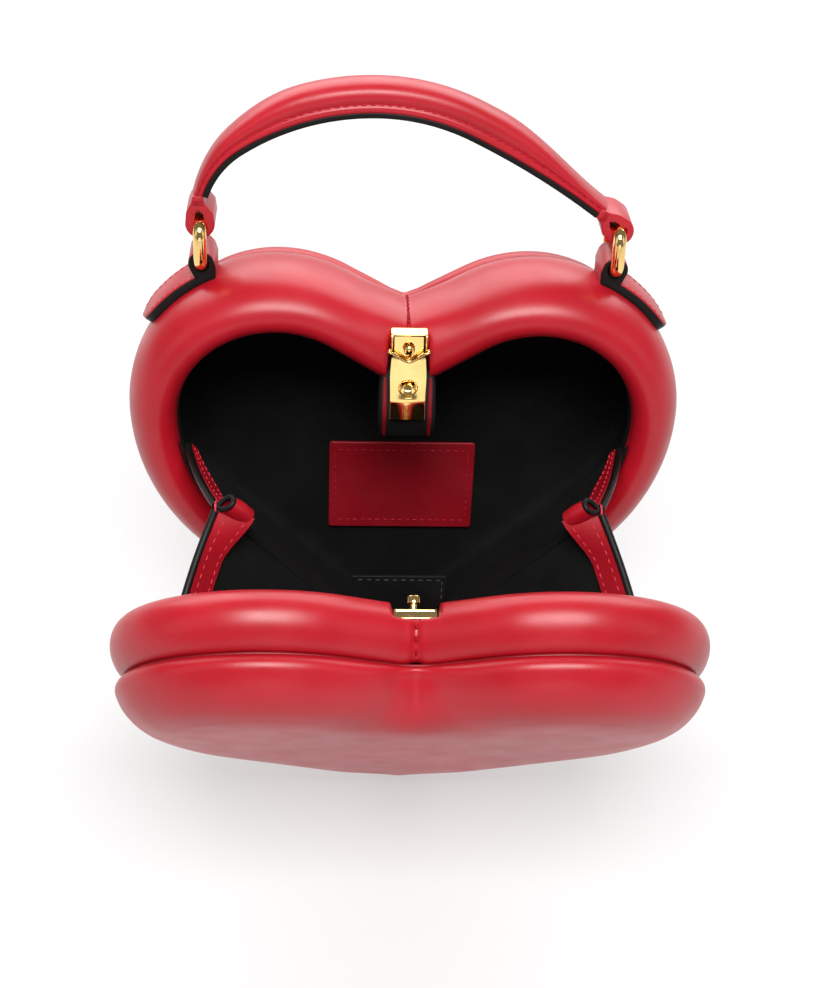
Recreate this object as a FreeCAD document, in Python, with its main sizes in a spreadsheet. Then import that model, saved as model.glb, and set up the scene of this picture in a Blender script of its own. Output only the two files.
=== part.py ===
"""Heart shaped clamshell purse: two padded leather halves hinged at the tip of the heart, folding
gussets between them, a push-down stud lock at the notch and a padded top handle on two rings.

Each half has a frame of its own: x across, u up from the tip of the heart, v outward from the rim plane.
Millimetres and degrees. The bag stands open, on two flat feet at z = 0.
"""
import FreeCAD, Part
import math
import os
from FreeCAD import Vector

SIZES = {
    # Heart outline: lobe circles, flank arcs, straight flanks, round tip and notch; notch_angle is the slope
    # that the sides of the notch would have with the lobe centres as far apart as the circles reach
    "half_width": 100.0,
    "lobe_radius": 52.5,
    "flank_radius": 77.0,
    "flank_angle": 47.0,
    "tip_radius": 22.0,
    "notch_angle": 38.51,
    "notch_radius": 8.0,
    # Halves: depth of each band, padded rim, walls and the layers sewn into them
    "back_depth": 47.0,
    "front_depth": 20.0,
    "rim_gap": 0.2,
    "rim_lip": 16.0,
    "rim_depth": 14.0,
    "rim_roll": 9.0,
    "rim_inner_roll": 5.0,
    "band_wall": 7.0,
    "seam_round": 3.0,
    "panel_inset": 3.0,
    "panel_bulge": 19.3,
    "board_thickness": 2.0,
    "lining_thickness": 1.0,
    "seat_gap": 0.25,
    # Pose: how far the halves open, how far the back half leans, how deep the feet are pressed flat
    "open_angle": 40.5,
    "lean_angle": 12.0,
    "foot_press": 2.0,
    # Leather hinge at the tip, and the patch sewn over its inside
    "hinge_width": 37.0,
    "hinge_length": 34.0,
    "hinge_leather": 1.5,
    "hinge_start": 0.15,
    "patch_hem": 7.75,
    "patch_height": 22.0,
    "patch_depth": 10.0,
    # Label patch on the back lining
    "label_width": 58.0,
    "label_height": 40.0,
    "label_bottom": 48.0,
    "label_leather": 1.2,
    # Gussets: the seam's chord, from above the hinge to near the widest place, and the apex of the fold
    "gusset_start": 4.0,
    "gusset_inset": 2.7,
    "gusset_top_angle": 10.0,
    "gusset_depth": 4.0,
    "fold_tuck": 23.0,
    "fold_rise": 9.0,
    "fold_margin": 1.6,
    "gusset_leather": 1.1,
    "gusset_lining": 0.8,
    "gusset_ply_gap": 0.1,
    "welt_thickness": 2.0,
    # Lock on the back half
    "tongue_width": 19.4,
    "tongue_rise": 4.7,
    "tongue_height": 43.0,
    "tongue_depth": 9.35,
    "tongue_front": 1.35,
    "lock_room_width": 12.0,
    "lock_room_depth": 6.0,
    "plate_width": 14.0,
    "plate_waist": 11.4,
    "plate_height": 32.4,
    "plate_metal": 0.9,
    "plate_front": 0.35,
    "plate_flange_width": 11.0,
    "plate_flange_depth": 7.7,
    "ear_reach": 2.2,
    "ear_height": 3.0,
    "spring_wire": 1.0,
    "knob_drop": 3.3,
    "knob_radius": 2.7,
    "knob_thickness": 2.6,
    "knob_stem_radius": 1.3,
    "knob_travel": 3.0,
    "slide_width": 10.0,
    "slide_metal": 0.9,
    # Stud on the front half
    "stud_drop": 20.4,
    "stud_neck_radius": 1.1,
    "stud_neck_length": 5.8,
    "stud_head_radius": 2.15,
    "stud_head_length": 3.8,
    "stud_hole_radius": 4.0,
    "stud_plate_width": 14.0,
    "stud_plate_height": 18.5,
    "stud_plate_drop": 7.6,
    "stud_plate_depth": 3.1,
    "stud_block_width": 18.0,
    "stud_block_drop": 14.6,
    "stud_block_depth": 9.5,
    # Rings, tabs and handle
    "ring_angle": 64.3,
    "ring_standoff": 9.2,
    "ring_depth": 28.4,
    "ring_wire": 4.0,
    "ring_height": 15.2,
    "ring_width": 18.0,
    "ring_corner": 3.2,
    "strap_width": 16.8,
    "loop_leather": 2.6,
    "loop_clearance": 0.3,
    "tab_thickness": 4.2,
    "tab_span": 31.8,
    "handle_rise": 41.7,
    "apex_shift": 12.6,
    "strap_thickness": 3.0,
    "steep_end_angle": 90.0,
    "slack_end_angle": 38.7,
    "pad_width": 15.4,
    "pad_height": 9.4,
    "pad_roll": 6.6,
    "pad_end_gap": 13.0,
}

doc = FreeCAD.newDocument("heart_purse")
sheet = doc.addObject("Spreadsheet::Sheet", "sizes")
for row, (alias, value) in enumerate(SIZES.items(), start=1):
    sheet.set(f"A{row}", alias)
    sheet.set(f"B{row}", str(value))
    sheet.setAlias(f"B{row}", alias)
doc.recompute()

nodes = {}


class Sizes:
    """Reads a size from the sheet by its name."""

    def __getattr__(self, alias):
        return float(sheet.get(alias))


s = Sizes()


def sin(degrees):
    return math.sin(math.radians(degrees))


def cos(degrees):
    return math.cos(math.radians(degrees))


# Heart outline, worked out from its circles and their common tangents

LOBE_X = s.half_width - s.lobe_radius
FLANK_X = s.half_width - s.flank_radius
WIDEST_U = s.tip_radius + (
    s.flank_radius - s.tip_radius + FLANK_X * cos(s.flank_angle)
) / sin(s.flank_angle)
NOTCH_REACH = s.notch_radius + s.lobe_radius
NOTCH_SLOPE = math.degrees(math.atan2(LOBE_X * sin(s.notch_angle), NOTCH_REACH * cos(s.notch_angle)))
NOTCH_CENTRE_U = WIDEST_U + (NOTCH_REACH - LOBE_X * sin(NOTCH_SLOPE)) / cos(NOTCH_SLOPE)
CREST_U = NOTCH_CENTRE_U - s.notch_radius
HEART_MIDDLE_U = (WIDEST_U + s.lobe_radius) / 2


def line(start, end):
    return Part.LineSegment(Vector(*start), Vector(*end))


def arc(centre, radius, start, end):
    """Arc from one angle to another, anticlockwise."""
    circle = Part.Circle(Vector(*centre), Vector(0, 0, 1), radius)
    return Part.ArcOfCircle(circle, math.radians(start), math.radians(end))


def disc(centre, radius):
    return [Part.Circle(Vector(*centre), Vector(0, 0, 1), radius)]


def polygon(points):
    return [line(a, b) for a, b in zip(points, points[1:] + points[:1])]


def rectangle(left, bottom, right, top):
    return polygon([(left, bottom), (right, bottom), (right, top), (left, top)])


def polar(centre, radius, angle):
    return (centre[0] + radius * cos(angle), centre[1] + radius * sin(angle))


def heart(inset=0.0, zoom=1.0):
    """The heart outline drawn in by inset, then shrunk about its middle by zoom."""
    slope, turn = NOTCH_SLOPE, s.flank_angle

    def at(x, u):
        return (x * zoom, HEART_MIDDLE_U + (u - HEART_MIDDLE_U) * zoom)

    lobe = (s.lobe_radius - inset) * zoom
    flank = (s.flank_radius - inset) * zoom
    tip = (s.tip_radius - inset) * zoom
    notch = (s.notch_radius + inset) * zoom
    tip_at = at(0, s.tip_radius)
    notch_at = at(0, NOTCH_CENTRE_U)
    edges = [
        arc(tip_at, tip, 180 + turn, 360 - turn),
        arc(notch_at, notch, 270 - slope, 270 + slope),
    ]
    for side, mirror in ((1, lambda a: a), (-1, lambda a: 180 - a)):
        lobe_at = at(side * LOBE_X, WIDEST_U)
        flank_at = at(side * FLANK_X, WIDEST_U)
        for centre, radius, low, high in (
            (flank_at, flank, -turn, 0),
            (lobe_at, lobe, 0, 90 + slope),
        ):
            ends = sorted((mirror(low), mirror(high)))
            edges.append(arc(centre, radius, *ends))
        edges.append(line(polar(tip_at, tip, mirror(-turn)), polar(flank_at, flank, mirror(-turn))))
        edges.append(line(polar(lobe_at, lobe, mirror(90 + slope)), polar(notch_at, notch, mirror(slope - 90))))
    return edges


# Places of the halves in the room

FRONT_TILT = s.open_angle - s.lean_angle
HINGE_Z = s.back_depth * sin(s.lean_angle) - s.foot_press
FOOT_V = s.back_depth - 0.5 * s.foot_press / sin(s.lean_angle)
HINGE = Vector(0, -FOOT_V * cos(s.lean_angle), HINGE_Z)
UP_BACK = Vector(0, sin(s.lean_angle), cos(s.lean_angle))
OUT_BACK = Vector(0, cos(s.lean_angle), -sin(s.lean_angle))
UP_FRONT = Vector(0, -sin(FRONT_TILT), cos(FRONT_TILT))
OUT_FRONT = Vector(0, -cos(FRONT_TILT), -sin(FRONT_TILT))
UP_FOLD = (UP_BACK + UP_FRONT).normalize()


def axes_at(origin, along_x, along_y):
    """Placement whose local x and y point along the two given directions."""
    along_z = along_x.cross(along_y)
    matrix = FreeCAD.Matrix(
        along_x.x, along_y.x, along_z.x, origin.x,
        along_x.y, along_y.y, along_z.y, origin.y,
        along_x.z, along_y.z, along_z.z, origin.z,
        0, 0, 0, 1,
    )
    return FreeCAD.Placement(matrix)


BACK = axes_at(HINGE, Vector(-1, 0, 0), UP_BACK)
FRONT = axes_at(HINGE, Vector(1, 0, 0), UP_FRONT)


# Small tools for bodies

def new_body(label, placement):
    body = doc.addObject("PartDesign::Body", label)
    body.Label = label
    body.Placement = placement
    return body


def keep(label, item):
    """Names the finished object and puts it on the list of pieces."""
    item.Label = label
    nodes[label] = item
    return item


def draw(body, name, edges, height=None, plane="XY_Plane"):
    sketch = body.newObject("Sketcher::SketchObject", f"{body.Name}_{name}")
    support = next(f for f in body.Origin.OriginFeatures if f.Role == plane)
    sketch.AttachmentSupport = [(support, "")]
    sketch.MapMode = "FlatFace"
    if height is not None:
        sketch.setExpression(".AttachmentOffset.Base.z", height)
    sketch.addGeometry(edges, False)
    return sketch


def pad(body, name, edges, length, height=None):
    feature = body.newObject("PartDesign::Pad", f"{body.Name}_{name}")
    feature.Profile = draw(body, f"{name}_sketch", edges, height)
    feature.setExpression("Length", length)
    doc.recompute()
    return feature


def pocket(body, name, edges, length, height=None, outward=False):
    """Cuts towards the rim, or outward from it."""
    before = body.Shape.Volume
    feature = body.newObject("PartDesign::Pocket", f"{body.Name}_{name}")
    feature.Profile = draw(body, f"{name}_sketch", edges, height)
    feature.Reversed = outward
    feature.setExpression("Length", length)
    doc.recompute()
    if body.Shape.Volume >= before:
        raise RuntimeError(f"{body.Label}: {name} cuts nothing")
    return feature


def fillet(body, name, base, edges, radius):
    feature = body.newObject("PartDesign::Fillet", f"{body.Name}_{name}")
    feature.Base = (base, edges)
    feature.setExpression("Radius", radius)
    doc.recompute()
    return feature


def loop_edges(feature, height, outer):
    """Names of the edges round the widest flat face at that height: its outer loop, or its inner ones."""
    def level(face):
        return max(abs(face.BoundBox.ZMin - height), abs(face.BoundBox.ZMax - height))

    flat = [f for f in feature.Shape.Faces if level(f) < 1e-6]
    face = max(flat, key=lambda f: f.BoundBox.XLength)
    loops = [w for w in face.Wires if w.isSame(face.OuterWire) == outer]
    wanted = [e for w in loops for e in w.Edges]
    return [
        f"Edge{i}"
        for i, edge in enumerate(feature.Shape.Edges, start=1)
        if any(edge.isSame(w) for w in wanted)
    ]


floor_block = doc.addObject("Part::Box", "floor_block")
floor_block.setExpression("Length", "4 * sizes.half_width")
floor_block.setExpression("Width", "4 * sizes.half_width")
floor_block.setExpression("Height", "sizes.half_width")
floor_block.Placement.Base = Vector(-2 * s.half_width, -2 * s.half_width, -s.half_width)


def press_flat(label, body):
    """The body with whatever would sink below the floor pressed flat."""
    cut = doc.addObject("Part::Cut", f"{label}_pressed")
    cut.Base = body
    cut.Tool = floor_block
    return keep(label, cut)


# The two halves: padded band with a rolled rim, stiff board, lining tray and padded panel

HALVES = {"back": (BACK, "sizes.back_depth"), "front": (FRONT, "sizes.front_depth")}
DEPTHS = {"back": s.back_depth, "front": s.front_depth}
TONGUE_TOP = CREST_U + s.tongue_rise
TONGUE_BOTTOM = TONGUE_TOP - s.tongue_height
TONGUE_HALF = s.tongue_width / 2
CHANNEL_HALF = s.stud_plate_width / 2 + s.seat_gap
STUD_U = TONGUE_TOP - s.stud_drop
STUD_PLATE_BOTTOM = STUD_U - s.stud_plate_drop
ABOVE_NOTCH = NOTCH_CENTRE_U + s.lobe_radius


def make_band(half):
    placement, depth = HALVES[half]
    body = new_body(f"{half}_band_body", placement)
    pad(body, "outer", heart(), f"{depth} - sizes.rim_gap", "sizes.rim_gap")
    pocket(body, "mouth", heart(s.rim_lip), depth, depth)
    ring = pocket(body, "hollow", heart(s.band_wall), f"{depth} - sizes.rim_depth", depth)
    roll = fillet(body, "roll", ring, loop_edges(ring, s.rim_gap, True), "sizes.rim_roll")
    inner = fillet(body, "inner_roll", roll, loop_edges(roll, s.rim_gap, False), "sizes.rim_inner_roll")
    fillet(body, "seam_round", inner, loop_edges(inner, DEPTHS[half], True), "sizes.seam_round")
    reach = s.hinge_width / 2 + s.seat_gap
    pocket(
        body,
        "hinge_recess",
        rectangle(-reach, -s.tip_radius, reach, s.hinge_length + s.seat_gap),
        "sizes.hinge_start + sizes.hinge_leather + sizes.seat_gap",
        outward=True,
    )
    if half == "back":
        side = TONGUE_HALF + s.seat_gap
        edges = rectangle(-side, TONGUE_BOTTOM, side, ABOVE_NOTCH)
        room = "sizes.tongue_front + sizes.tongue_depth + sizes.seat_gap"
    else:
        edges = rectangle(-CHANNEL_HALF, STUD_PLATE_BOTTOM - s.seat_gap, CHANNEL_HALF, ABOVE_NOTCH)
        room = "sizes.stud_plate_depth + sizes.plate_metal + 0.4 * sizes.seat_gap"
    pocket(body, "lock_gap", edges, room, outward=True)
    press_flat(f"{half}_band", body)


def make_panel(half):
    """Padded heart cushion, a loft through four shrinking hearts."""
    placement, depth = HALVES[half]
    body = new_body(f"{half}_panel_body", placement)
    crown = ((1.0, 0.0), (0.965, 0.42), (0.86, 0.79), (0.62, 1.0))
    sketches = [
        draw(
            body,
            f"crown_{i}",
            heart(s.panel_inset, zoom),
            f"{depth} + sizes.seat_gap + {rise} * sizes.panel_bulge",
        )
        for i, (zoom, rise) in enumerate(crown)
    ]
    loft = body.newObject("PartDesign::AdditiveLoft", f"{half}_panel_loft")
    loft.Profile = sketches[0]
    loft.Sections = sketches[1:]
    doc.recompute()
    press_flat(f"{half}_panel", body)


def make_board(half):
    placement, depth = HALVES[half]
    body = new_body(f"{half}_board", placement)
    edges = heart(s.band_wall + s.seat_gap)
    pad(body, "plate", edges, "sizes.board_thickness", f"{depth} - sizes.board_thickness")
    keep(f"{half}_board", body)


def make_lining(half):
    placement, depth = HALVES[half]
    body = new_body(f"{half}_lining", placement)
    wall = s.band_wall + s.seat_gap
    start = "sizes.rim_depth + sizes.seat_gap"
    tray = f"{depth} - sizes.board_thickness - sizes.rim_depth - 2 * sizes.seat_gap"
    pad(body, "tray", heart(wall), tray, start)
    room = f"{tray} - sizes.lining_thickness"
    pocket(body, "room", heart(wall + s.lining_thickness), room, start, outward=True)
    keep(f"{half}_lining", body)


for half in HALVES:
    make_band(half)
    make_panel(half)
    make_board(half)
    make_lining(half)


# Leather hinge at the tip: one strip folded on the hinge line, so each half carries one leaf of it

def make_hinge_strip(half):
    body = new_body(f"hinge_strip_{half}", HALVES[half][0])
    reach = s.hinge_width / 2
    edges = rectangle(-reach, s.hinge_start, reach, s.hinge_length)
    pad(body, "leaf", edges, "sizes.hinge_leather", "sizes.hinge_start")
    keep(f"hinge_strip_{half}", body)


for half in HALVES:
    make_hinge_strip(half)


def lip_x(u, inset):
    """How far out the straight flank of the heart drawn in by inset is, at height u."""
    start = polar((0, s.tip_radius), s.tip_radius - inset, -s.flank_angle)
    return start[0] + (u - start[1]) * math.tan(math.radians(s.flank_angle))


def make_hinge_patch():
    """Black patch over the inside of the hinge, trimmed to the V of the rim."""
    body = new_body("hinge_patch", BACK)
    inset = s.rim_lip + s.seat_gap
    half_top = s.hinge_width / 2
    bottom = inset + s.patch_hem
    low = lip_x(bottom, inset)
    corner_u = bottom + (half_top - low) / math.tan(math.radians(s.flank_angle))
    right = [(low, bottom), (half_top, corner_u), (half_top, bottom + s.patch_height)]
    left = [(-x, u) for x, u in reversed(right)]
    pad(body, "leather", polygon(right + left), "sizes.hinge_leather", "sizes.patch_depth")
    keep("hinge_patch", body)


make_hinge_patch()


def make_label():
    body = new_body("label_patch", BACK)
    reach = s.label_width / 2
    edges = rectangle(-reach, s.label_bottom, reach, s.label_bottom + s.label_height)
    floor = "sizes.back_depth - sizes.board_thickness - sizes.lining_thickness - sizes.seat_gap"
    pad(body, "leather", edges, "sizes.label_leather", f"{floor} - sizes.label_leather - 0.5 * sizes.seat_gap")
    keep("label_patch", body)


make_label()


# Gussets: each side folds inward on one crease, so each half carries one leaf hinged on a straight chord

SEAM_INSET = s.rim_lip + s.gusset_inset
SEAM_LOW_U = s.hinge_length + s.gusset_start
SEAM_LOW = (lip_x(SEAM_LOW_U, SEAM_INSET), SEAM_LOW_U)
SEAM_TOP = polar((FLANK_X, WIDEST_U), s.flank_radius - SEAM_INSET, -s.gusset_top_angle)


def in_room(placement, side, x, u, v):
    """A place of a half in the room; side is 1 for the right of the bag and -1 for its left."""
    point = placement.multVec(Vector(0, u, v))
    return point + Vector(side * x, 0, 0)


def gusset_frame(half, side):
    """Placement of one leaf, its z outward, and the leaf's corners in that placement."""
    placement = HALVES[half][0]
    low = in_room(placement, side, *SEAM_LOW, s.gusset_depth)
    top = in_room(placement, side, *SEAM_TOP, s.gusset_depth)
    apex = HINGE + UP_FOLD * (SEAM_TOP[1] + s.fold_rise) + Vector(side * (SEAM_TOP[0] - s.fold_tuck), 0, 0)
    across = UP_FOLD.cross(Vector(1, 0, 0))
    chord = (top - low).normalize()
    inward = apex - low - chord * chord.dot(apex - low)
    inward.normalize()

    def fold_at(start):
        """Where the leaf meets the fold plane, going inward from a place on the chord."""
        return start + inward * (-(start - HINGE).dot(across) / inward.dot(across) - s.fold_margin)

    corners = [low, top, fold_at(low + chord * chord.dot(apex - low)), fold_at(low)]
    along = chord if chord.cross(inward).x * side > 0 else chord * -1
    frame = axes_at(low, along, inward)
    inverse = frame.inverse()
    flat = [inverse.multVec(c) for c in corners]
    return frame, [(c.x, c.y) for c in flat]


def make_gusset(half, side, name):
    frame, corners = gusset_frame(half, side)
    leather = new_body(f"gusset_{name}_{half}", frame)
    pad(leather, "leaf", polygon(corners), "sizes.gusset_leather", "0.5 * sizes.gusset_ply_gap")
    keep(f"gusset_{name}_{half}", leather)
    lining = new_body(f"gusset_lining_{name}_{half}", frame)
    pad(
        lining,
        "leaf",
        polygon(corners),
        "sizes.gusset_lining",
        "-0.5 * sizes.gusset_ply_gap - sizes.gusset_lining",
    )
    keep(f"gusset_lining_{name}_{half}", lining)


def make_welt(half, side, name):
    """Sewn margin of the gusset: the crescent between the rim and the chord that the leaf folds on."""
    body = new_body(f"gusset_welt_{name}_{half}", HALVES[half][0])
    inset = s.rim_lip + s.seat_gap
    radius = s.flank_radius - inset
    turn = s.flank_angle
    low = Vector(*SEAM_LOW, 0)
    top = Vector(*SEAM_TOP, 0)
    chord = (top - low).normalize()
    outward = Vector(chord.y, -chord.x, 0)
    hem = low + outward * (s.gusset_leather + s.seat_gap)
    rise = math.degrees(math.asin((SEAM_TOP[1] - WIDEST_U) / radius))
    upper = polar((FLANK_X, WIDEST_U), radius, rise)
    bend = polar((FLANK_X, WIDEST_U), radius, -turn)
    foot = (lip_x(SEAM_LOW_U, inset), SEAM_LOW_U)
    reach = hem + chord * (chord.dot(Vector(*upper, 0) - hem) - s.welt_thickness)
    corner = (reach.x, reach.y)
    mouth = side if half == "front" else -side

    def turned(point):
        return (mouth * point[0], point[1])

    centre = turned((FLANK_X, WIDEST_U))
    ends = (-turn, rise) if mouth > 0 else (180 - rise, 180 + turn)
    edges = [arc(centre, radius, *ends)]
    run = [bend, foot, (hem.x, hem.y), corner, upper]
    edges += [line(turned(a), turned(b)) for a, b in zip(run, run[1:])]
    pad(body, "crescent", edges, "sizes.welt_thickness", "sizes.gusset_depth - 0.5 * sizes.welt_thickness")
    keep(f"gusset_welt_{name}_{half}", body)


for half in HALVES:
    for side, name in ((-1, "left"), (1, "right")):
        make_gusset(half, side, name)
        make_welt(half, side, name)


# Lock: tongue with a room for the slide, face plate, V spring, and the knob on its slide

PLATE_HALF = s.plate_width / 2
PLATE_TOP = TONGUE_TOP + 0.5 * s.seat_gap
PLATE_BOTTOM = PLATE_TOP - s.plate_height
KNOB_U = TONGUE_TOP - s.knob_drop
EAR_BOTTOM = KNOB_U - s.ear_height


def make_tongue():
    body = new_body("lock_tongue", BACK)
    edges = rectangle(-TONGUE_HALF, TONGUE_BOTTOM, TONGUE_HALF, TONGUE_TOP)
    pad(body, "block", edges, "sizes.tongue_depth", "sizes.tongue_front")
    room = s.lock_room_width / 2
    top = KNOB_U + s.knob_stem_radius + s.seat_gap
    bottom = STUD_U - s.stud_hole_radius - s.knob_travel - 2 * s.seat_gap
    pocket(body, "room", rectangle(-room, bottom, room, top + 2 * s.seat_gap), "sizes.lock_room_depth",
           "sizes.tongue_front", outward=True)
    keep("lock_tongue", body)


def make_lock_plate():
    body = new_body("lock_plate", BACK)
    waist = s.plate_waist / 2
    ear = PLATE_HALF + s.ear_reach
    right = [
        (PLATE_HALF, PLATE_BOTTOM),
        (PLATE_HALF, STUD_U + s.stud_hole_radius),
        (waist, STUD_U + 2 * s.stud_hole_radius),
        (waist, EAR_BOTTOM - s.plate_metal),
        (PLATE_HALF, EAR_BOTTOM),
        (ear, EAR_BOTTOM),
        (ear, EAR_BOTTOM + s.ear_height),
        (waist, EAR_BOTTOM + s.ear_height),
        (waist, PLATE_TOP + s.plate_metal),
    ]
    left = [(-x, u) for x, u in reversed(right)]
    pad(body, "face", polygon(right + left), "sizes.plate_metal", "sizes.plate_front")
    flange = s.plate_flange_width / 2
    edges = rectangle(-flange, PLATE_TOP, flange, PLATE_TOP + s.plate_metal)
    pad(body, "flange", edges, "sizes.plate_flange_depth", "sizes.plate_front")
    hole = disc((0, STUD_U), s.stud_hole_radius)
    drilled = pocket(body, "stud_hole", hole, "2 * sizes.plate_metal", "sizes.plate_front", outward=True)
    sink = body.newObject("PartDesign::Chamfer", "lock_plate_countersink")
    sink.Base = (drilled, loop_edges(drilled, s.plate_front, False))
    sink.setExpression("Size", "0.6 * sizes.plate_metal")
    reach = s.knob_stem_radius + s.seat_gap
    slot = rectangle(-reach, KNOB_U - s.knob_travel - reach, reach, KNOB_U + reach)
    pocket(body, "knob_slot", slot, "2 * sizes.plate_metal", "sizes.plate_front", outward=True)
    keep("lock_plate", body)


def make_lock_spring():
    """V of spring wire from ear to ear, its point under the stem of the knob."""
    radius = s.spring_wire / 2
    depth = s.plate_front - radius - s.seat_gap
    end = Vector(PLATE_HALF + s.ear_reach - radius, KNOB_U - radius, depth)
    point_u = KNOB_U - s.knob_stem_radius - s.knob_radius + radius
    point = Vector(0, point_u, depth)
    leg = (end - point).normalize()
    bend = s.spring_wire
    start = point + leg * bend
    mirrored = Vector(-start.x, start.y, start.z)
    middle = Vector(0, point_u + bend * leg.y * 0.5, depth)
    path = Part.Wire([
        Part.LineSegment(end, start).toShape(),
        Part.Arc(start, middle, mirrored).toShape(),
        Part.LineSegment(mirrored, Vector(-end.x, end.y, end.z)).toShape(),
    ])
    profile = Part.Wire([Part.Circle(end, leg, radius).toShape()])
    spring = doc.addObject("Part::Feature", "lock_spring")
    spring.Shape = path.makePipeShell([profile], True, False)
    spring.Placement = BACK
    keep("lock_spring", spring)


def make_knob():
    body = new_body("release_knob", BACK)
    under = "sizes.plate_front - 2 * sizes.seat_gap - sizes.spring_wire"
    head = pad(body, "head", disc((0, KNOB_U), s.knob_radius), "sizes.knob_thickness",
               f"{under} - sizes.knob_thickness")
    front = min(f.BoundBox.ZMin for f in head.Shape.Faces)
    fillet(body, "dome", head, loop_edges(head, front, True), "0.45 * sizes.knob_thickness")
    stem = "2 * sizes.plate_metal"
    gaps = "3 * sizes.seat_gap + sizes.spring_wire - sizes.plate_metal"
    pad(body, "stem", disc((0, KNOB_U), s.knob_stem_radius), f"{stem} + {gaps}", under)
    keep("release_knob", body)


def make_slide():
    """Latch slide with a keyhole: its narrow end holds the neck of the stud until the knob is pushed down."""
    body = new_body("latch_slide", BACK)
    half = s.slide_width / 2
    top = KNOB_U + s.knob_stem_radius + s.seat_gap
    bottom = STUD_U - s.stud_hole_radius - s.seat_gap
    height = "sizes.plate_front + sizes.plate_metal + sizes.seat_gap"
    pad(body, "plate", rectangle(-half, bottom, half, top), "sizes.slide_metal", height)
    neck = s.stud_neck_radius + s.seat_gap
    wide = s.stud_head_radius + 2 * s.seat_gap
    open_u = STUD_U + s.knob_travel
    through = "2 * sizes.slide_metal"
    pocket(body, "pass_hole", disc((0, open_u), wide), through, height, outward=True)
    edges = [
        arc((0, STUD_U), neck, 180, 360),
        line((neck, STUD_U), (neck, open_u)),
        line((neck, open_u), (-neck, open_u)),
        line((-neck, open_u), (-neck, STUD_U)),
    ]
    pocket(body, "neck_slot", edges, through, height, outward=True)
    keep("latch_slide", body)


make_tongue()
make_lock_plate()
make_lock_spring()
make_knob()
make_slide()


# Stud on the front half, on a base plate let into the rim at the notch

def make_stud_plate():
    body = new_body("stud_plate", FRONT)
    reach = s.stud_plate_width / 2
    edges = rectangle(-reach, STUD_PLATE_BOTTOM, reach, STUD_PLATE_BOTTOM + s.stud_plate_height)
    pad(body, "plate", edges, "sizes.plate_metal", "sizes.stud_plate_depth")
    keep("stud_plate", body)


def make_stud():
    body = new_body("catch_stud", FRONT)
    centre = (0, STUD_U)
    neck_end = "sizes.stud_plate_depth - sizes.stud_neck_length"
    head = pad(body, "head", disc(centre, s.stud_head_radius), "sizes.stud_head_length",
               f"{neck_end} - sizes.stud_head_length")
    tip = min(f.BoundBox.ZMin for f in head.Shape.Faces)
    fillet(body, "nose", head, loop_edges(head, tip, True), "0.4 * sizes.stud_head_radius")
    pad(body, "neck", disc(centre, s.stud_neck_radius), "sizes.stud_neck_length", neck_end)
    keep("catch_stud", body)


def make_stud_block():
    """Lined block under the stud, cut round to sit against the inside of the rim."""
    body = new_body("stud_block", FRONT)
    half = s.stud_block_width / 2
    rim = s.notch_radius + s.rim_lip + s.seat_gap
    edges = rectangle(-half, STUD_U - s.stud_block_drop, half, NOTCH_CENTRE_U - rim * cos(NOTCH_SLOPE))
    height = "sizes.stud_plate_depth + sizes.plate_metal + 0.4 * sizes.seat_gap"
    pad(body, "block", edges, "sizes.stud_block_depth", height)
    pocket(body, "rim_seat", disc((0, NOTCH_CENTRE_U), rim), "sizes.stud_block_depth", height, outward=True)
    keep("stud_block", body)


make_stud_plate()
make_stud()
make_stud_block()


# Rings on the shoulders, the tabs that hold them, and the handle

SHOULDER = s.lobe_radius + s.seat_gap
LOOP_RADIUS = s.ring_wire / 2 + s.loop_clearance + s.loop_leather
BORE_RADIUS = s.ring_wire / 2 + s.loop_clearance
RING_X, RING_BASE_U = polar((LOBE_X, WIDEST_U), SHOULDER + s.ring_standoff, s.ring_angle)
RING_TOP_U = RING_BASE_U + s.ring_height
STRAP_START = "sizes.ring_depth - 0.5 * sizes.strap_width"


def make_ring(side, name):
    """Rectangular ring of round wire with its bars along the depth of the bag."""
    centre = in_room(BACK, side, RING_X, RING_BASE_U, s.ring_depth)
    body = new_body(f"ring_{name}", axes_at(centre, OUT_BACK, UP_BACK))
    reach = (s.ring_width + s.ring_wire) / 2
    top, corner = s.ring_height, s.ring_corner
    spine = [line((0, 0), (reach - corner, 0))]
    spine.append(arc((reach - corner, corner), corner, 270, 360))
    spine.append(line((reach, corner), (reach, top - corner)))
    spine.append(arc((reach - corner, top - corner), corner, 0, 90))
    spine.append(line((reach - corner, top), (corner - reach, top)))
    spine.append(arc((corner - reach, top - corner), corner, 90, 180))
    spine.append(line((-reach, top - corner), (-reach, corner)))
    spine.append(arc((corner - reach, corner), corner, 180, 270))
    spine.append(line((corner - reach, 0), (0, 0)))
    path = draw(body, "path", spine)
    section = draw(body, "section", disc((0, 0), s.ring_wire / 2), plane="YZ_Plane")
    pipe = body.newObject("PartDesign::AdditivePipe", f"ring_{name}_pipe")
    pipe.Profile = section
    pipe.Spine = path
    doc.recompute()
    keep(f"ring_{name}", body)


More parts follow.
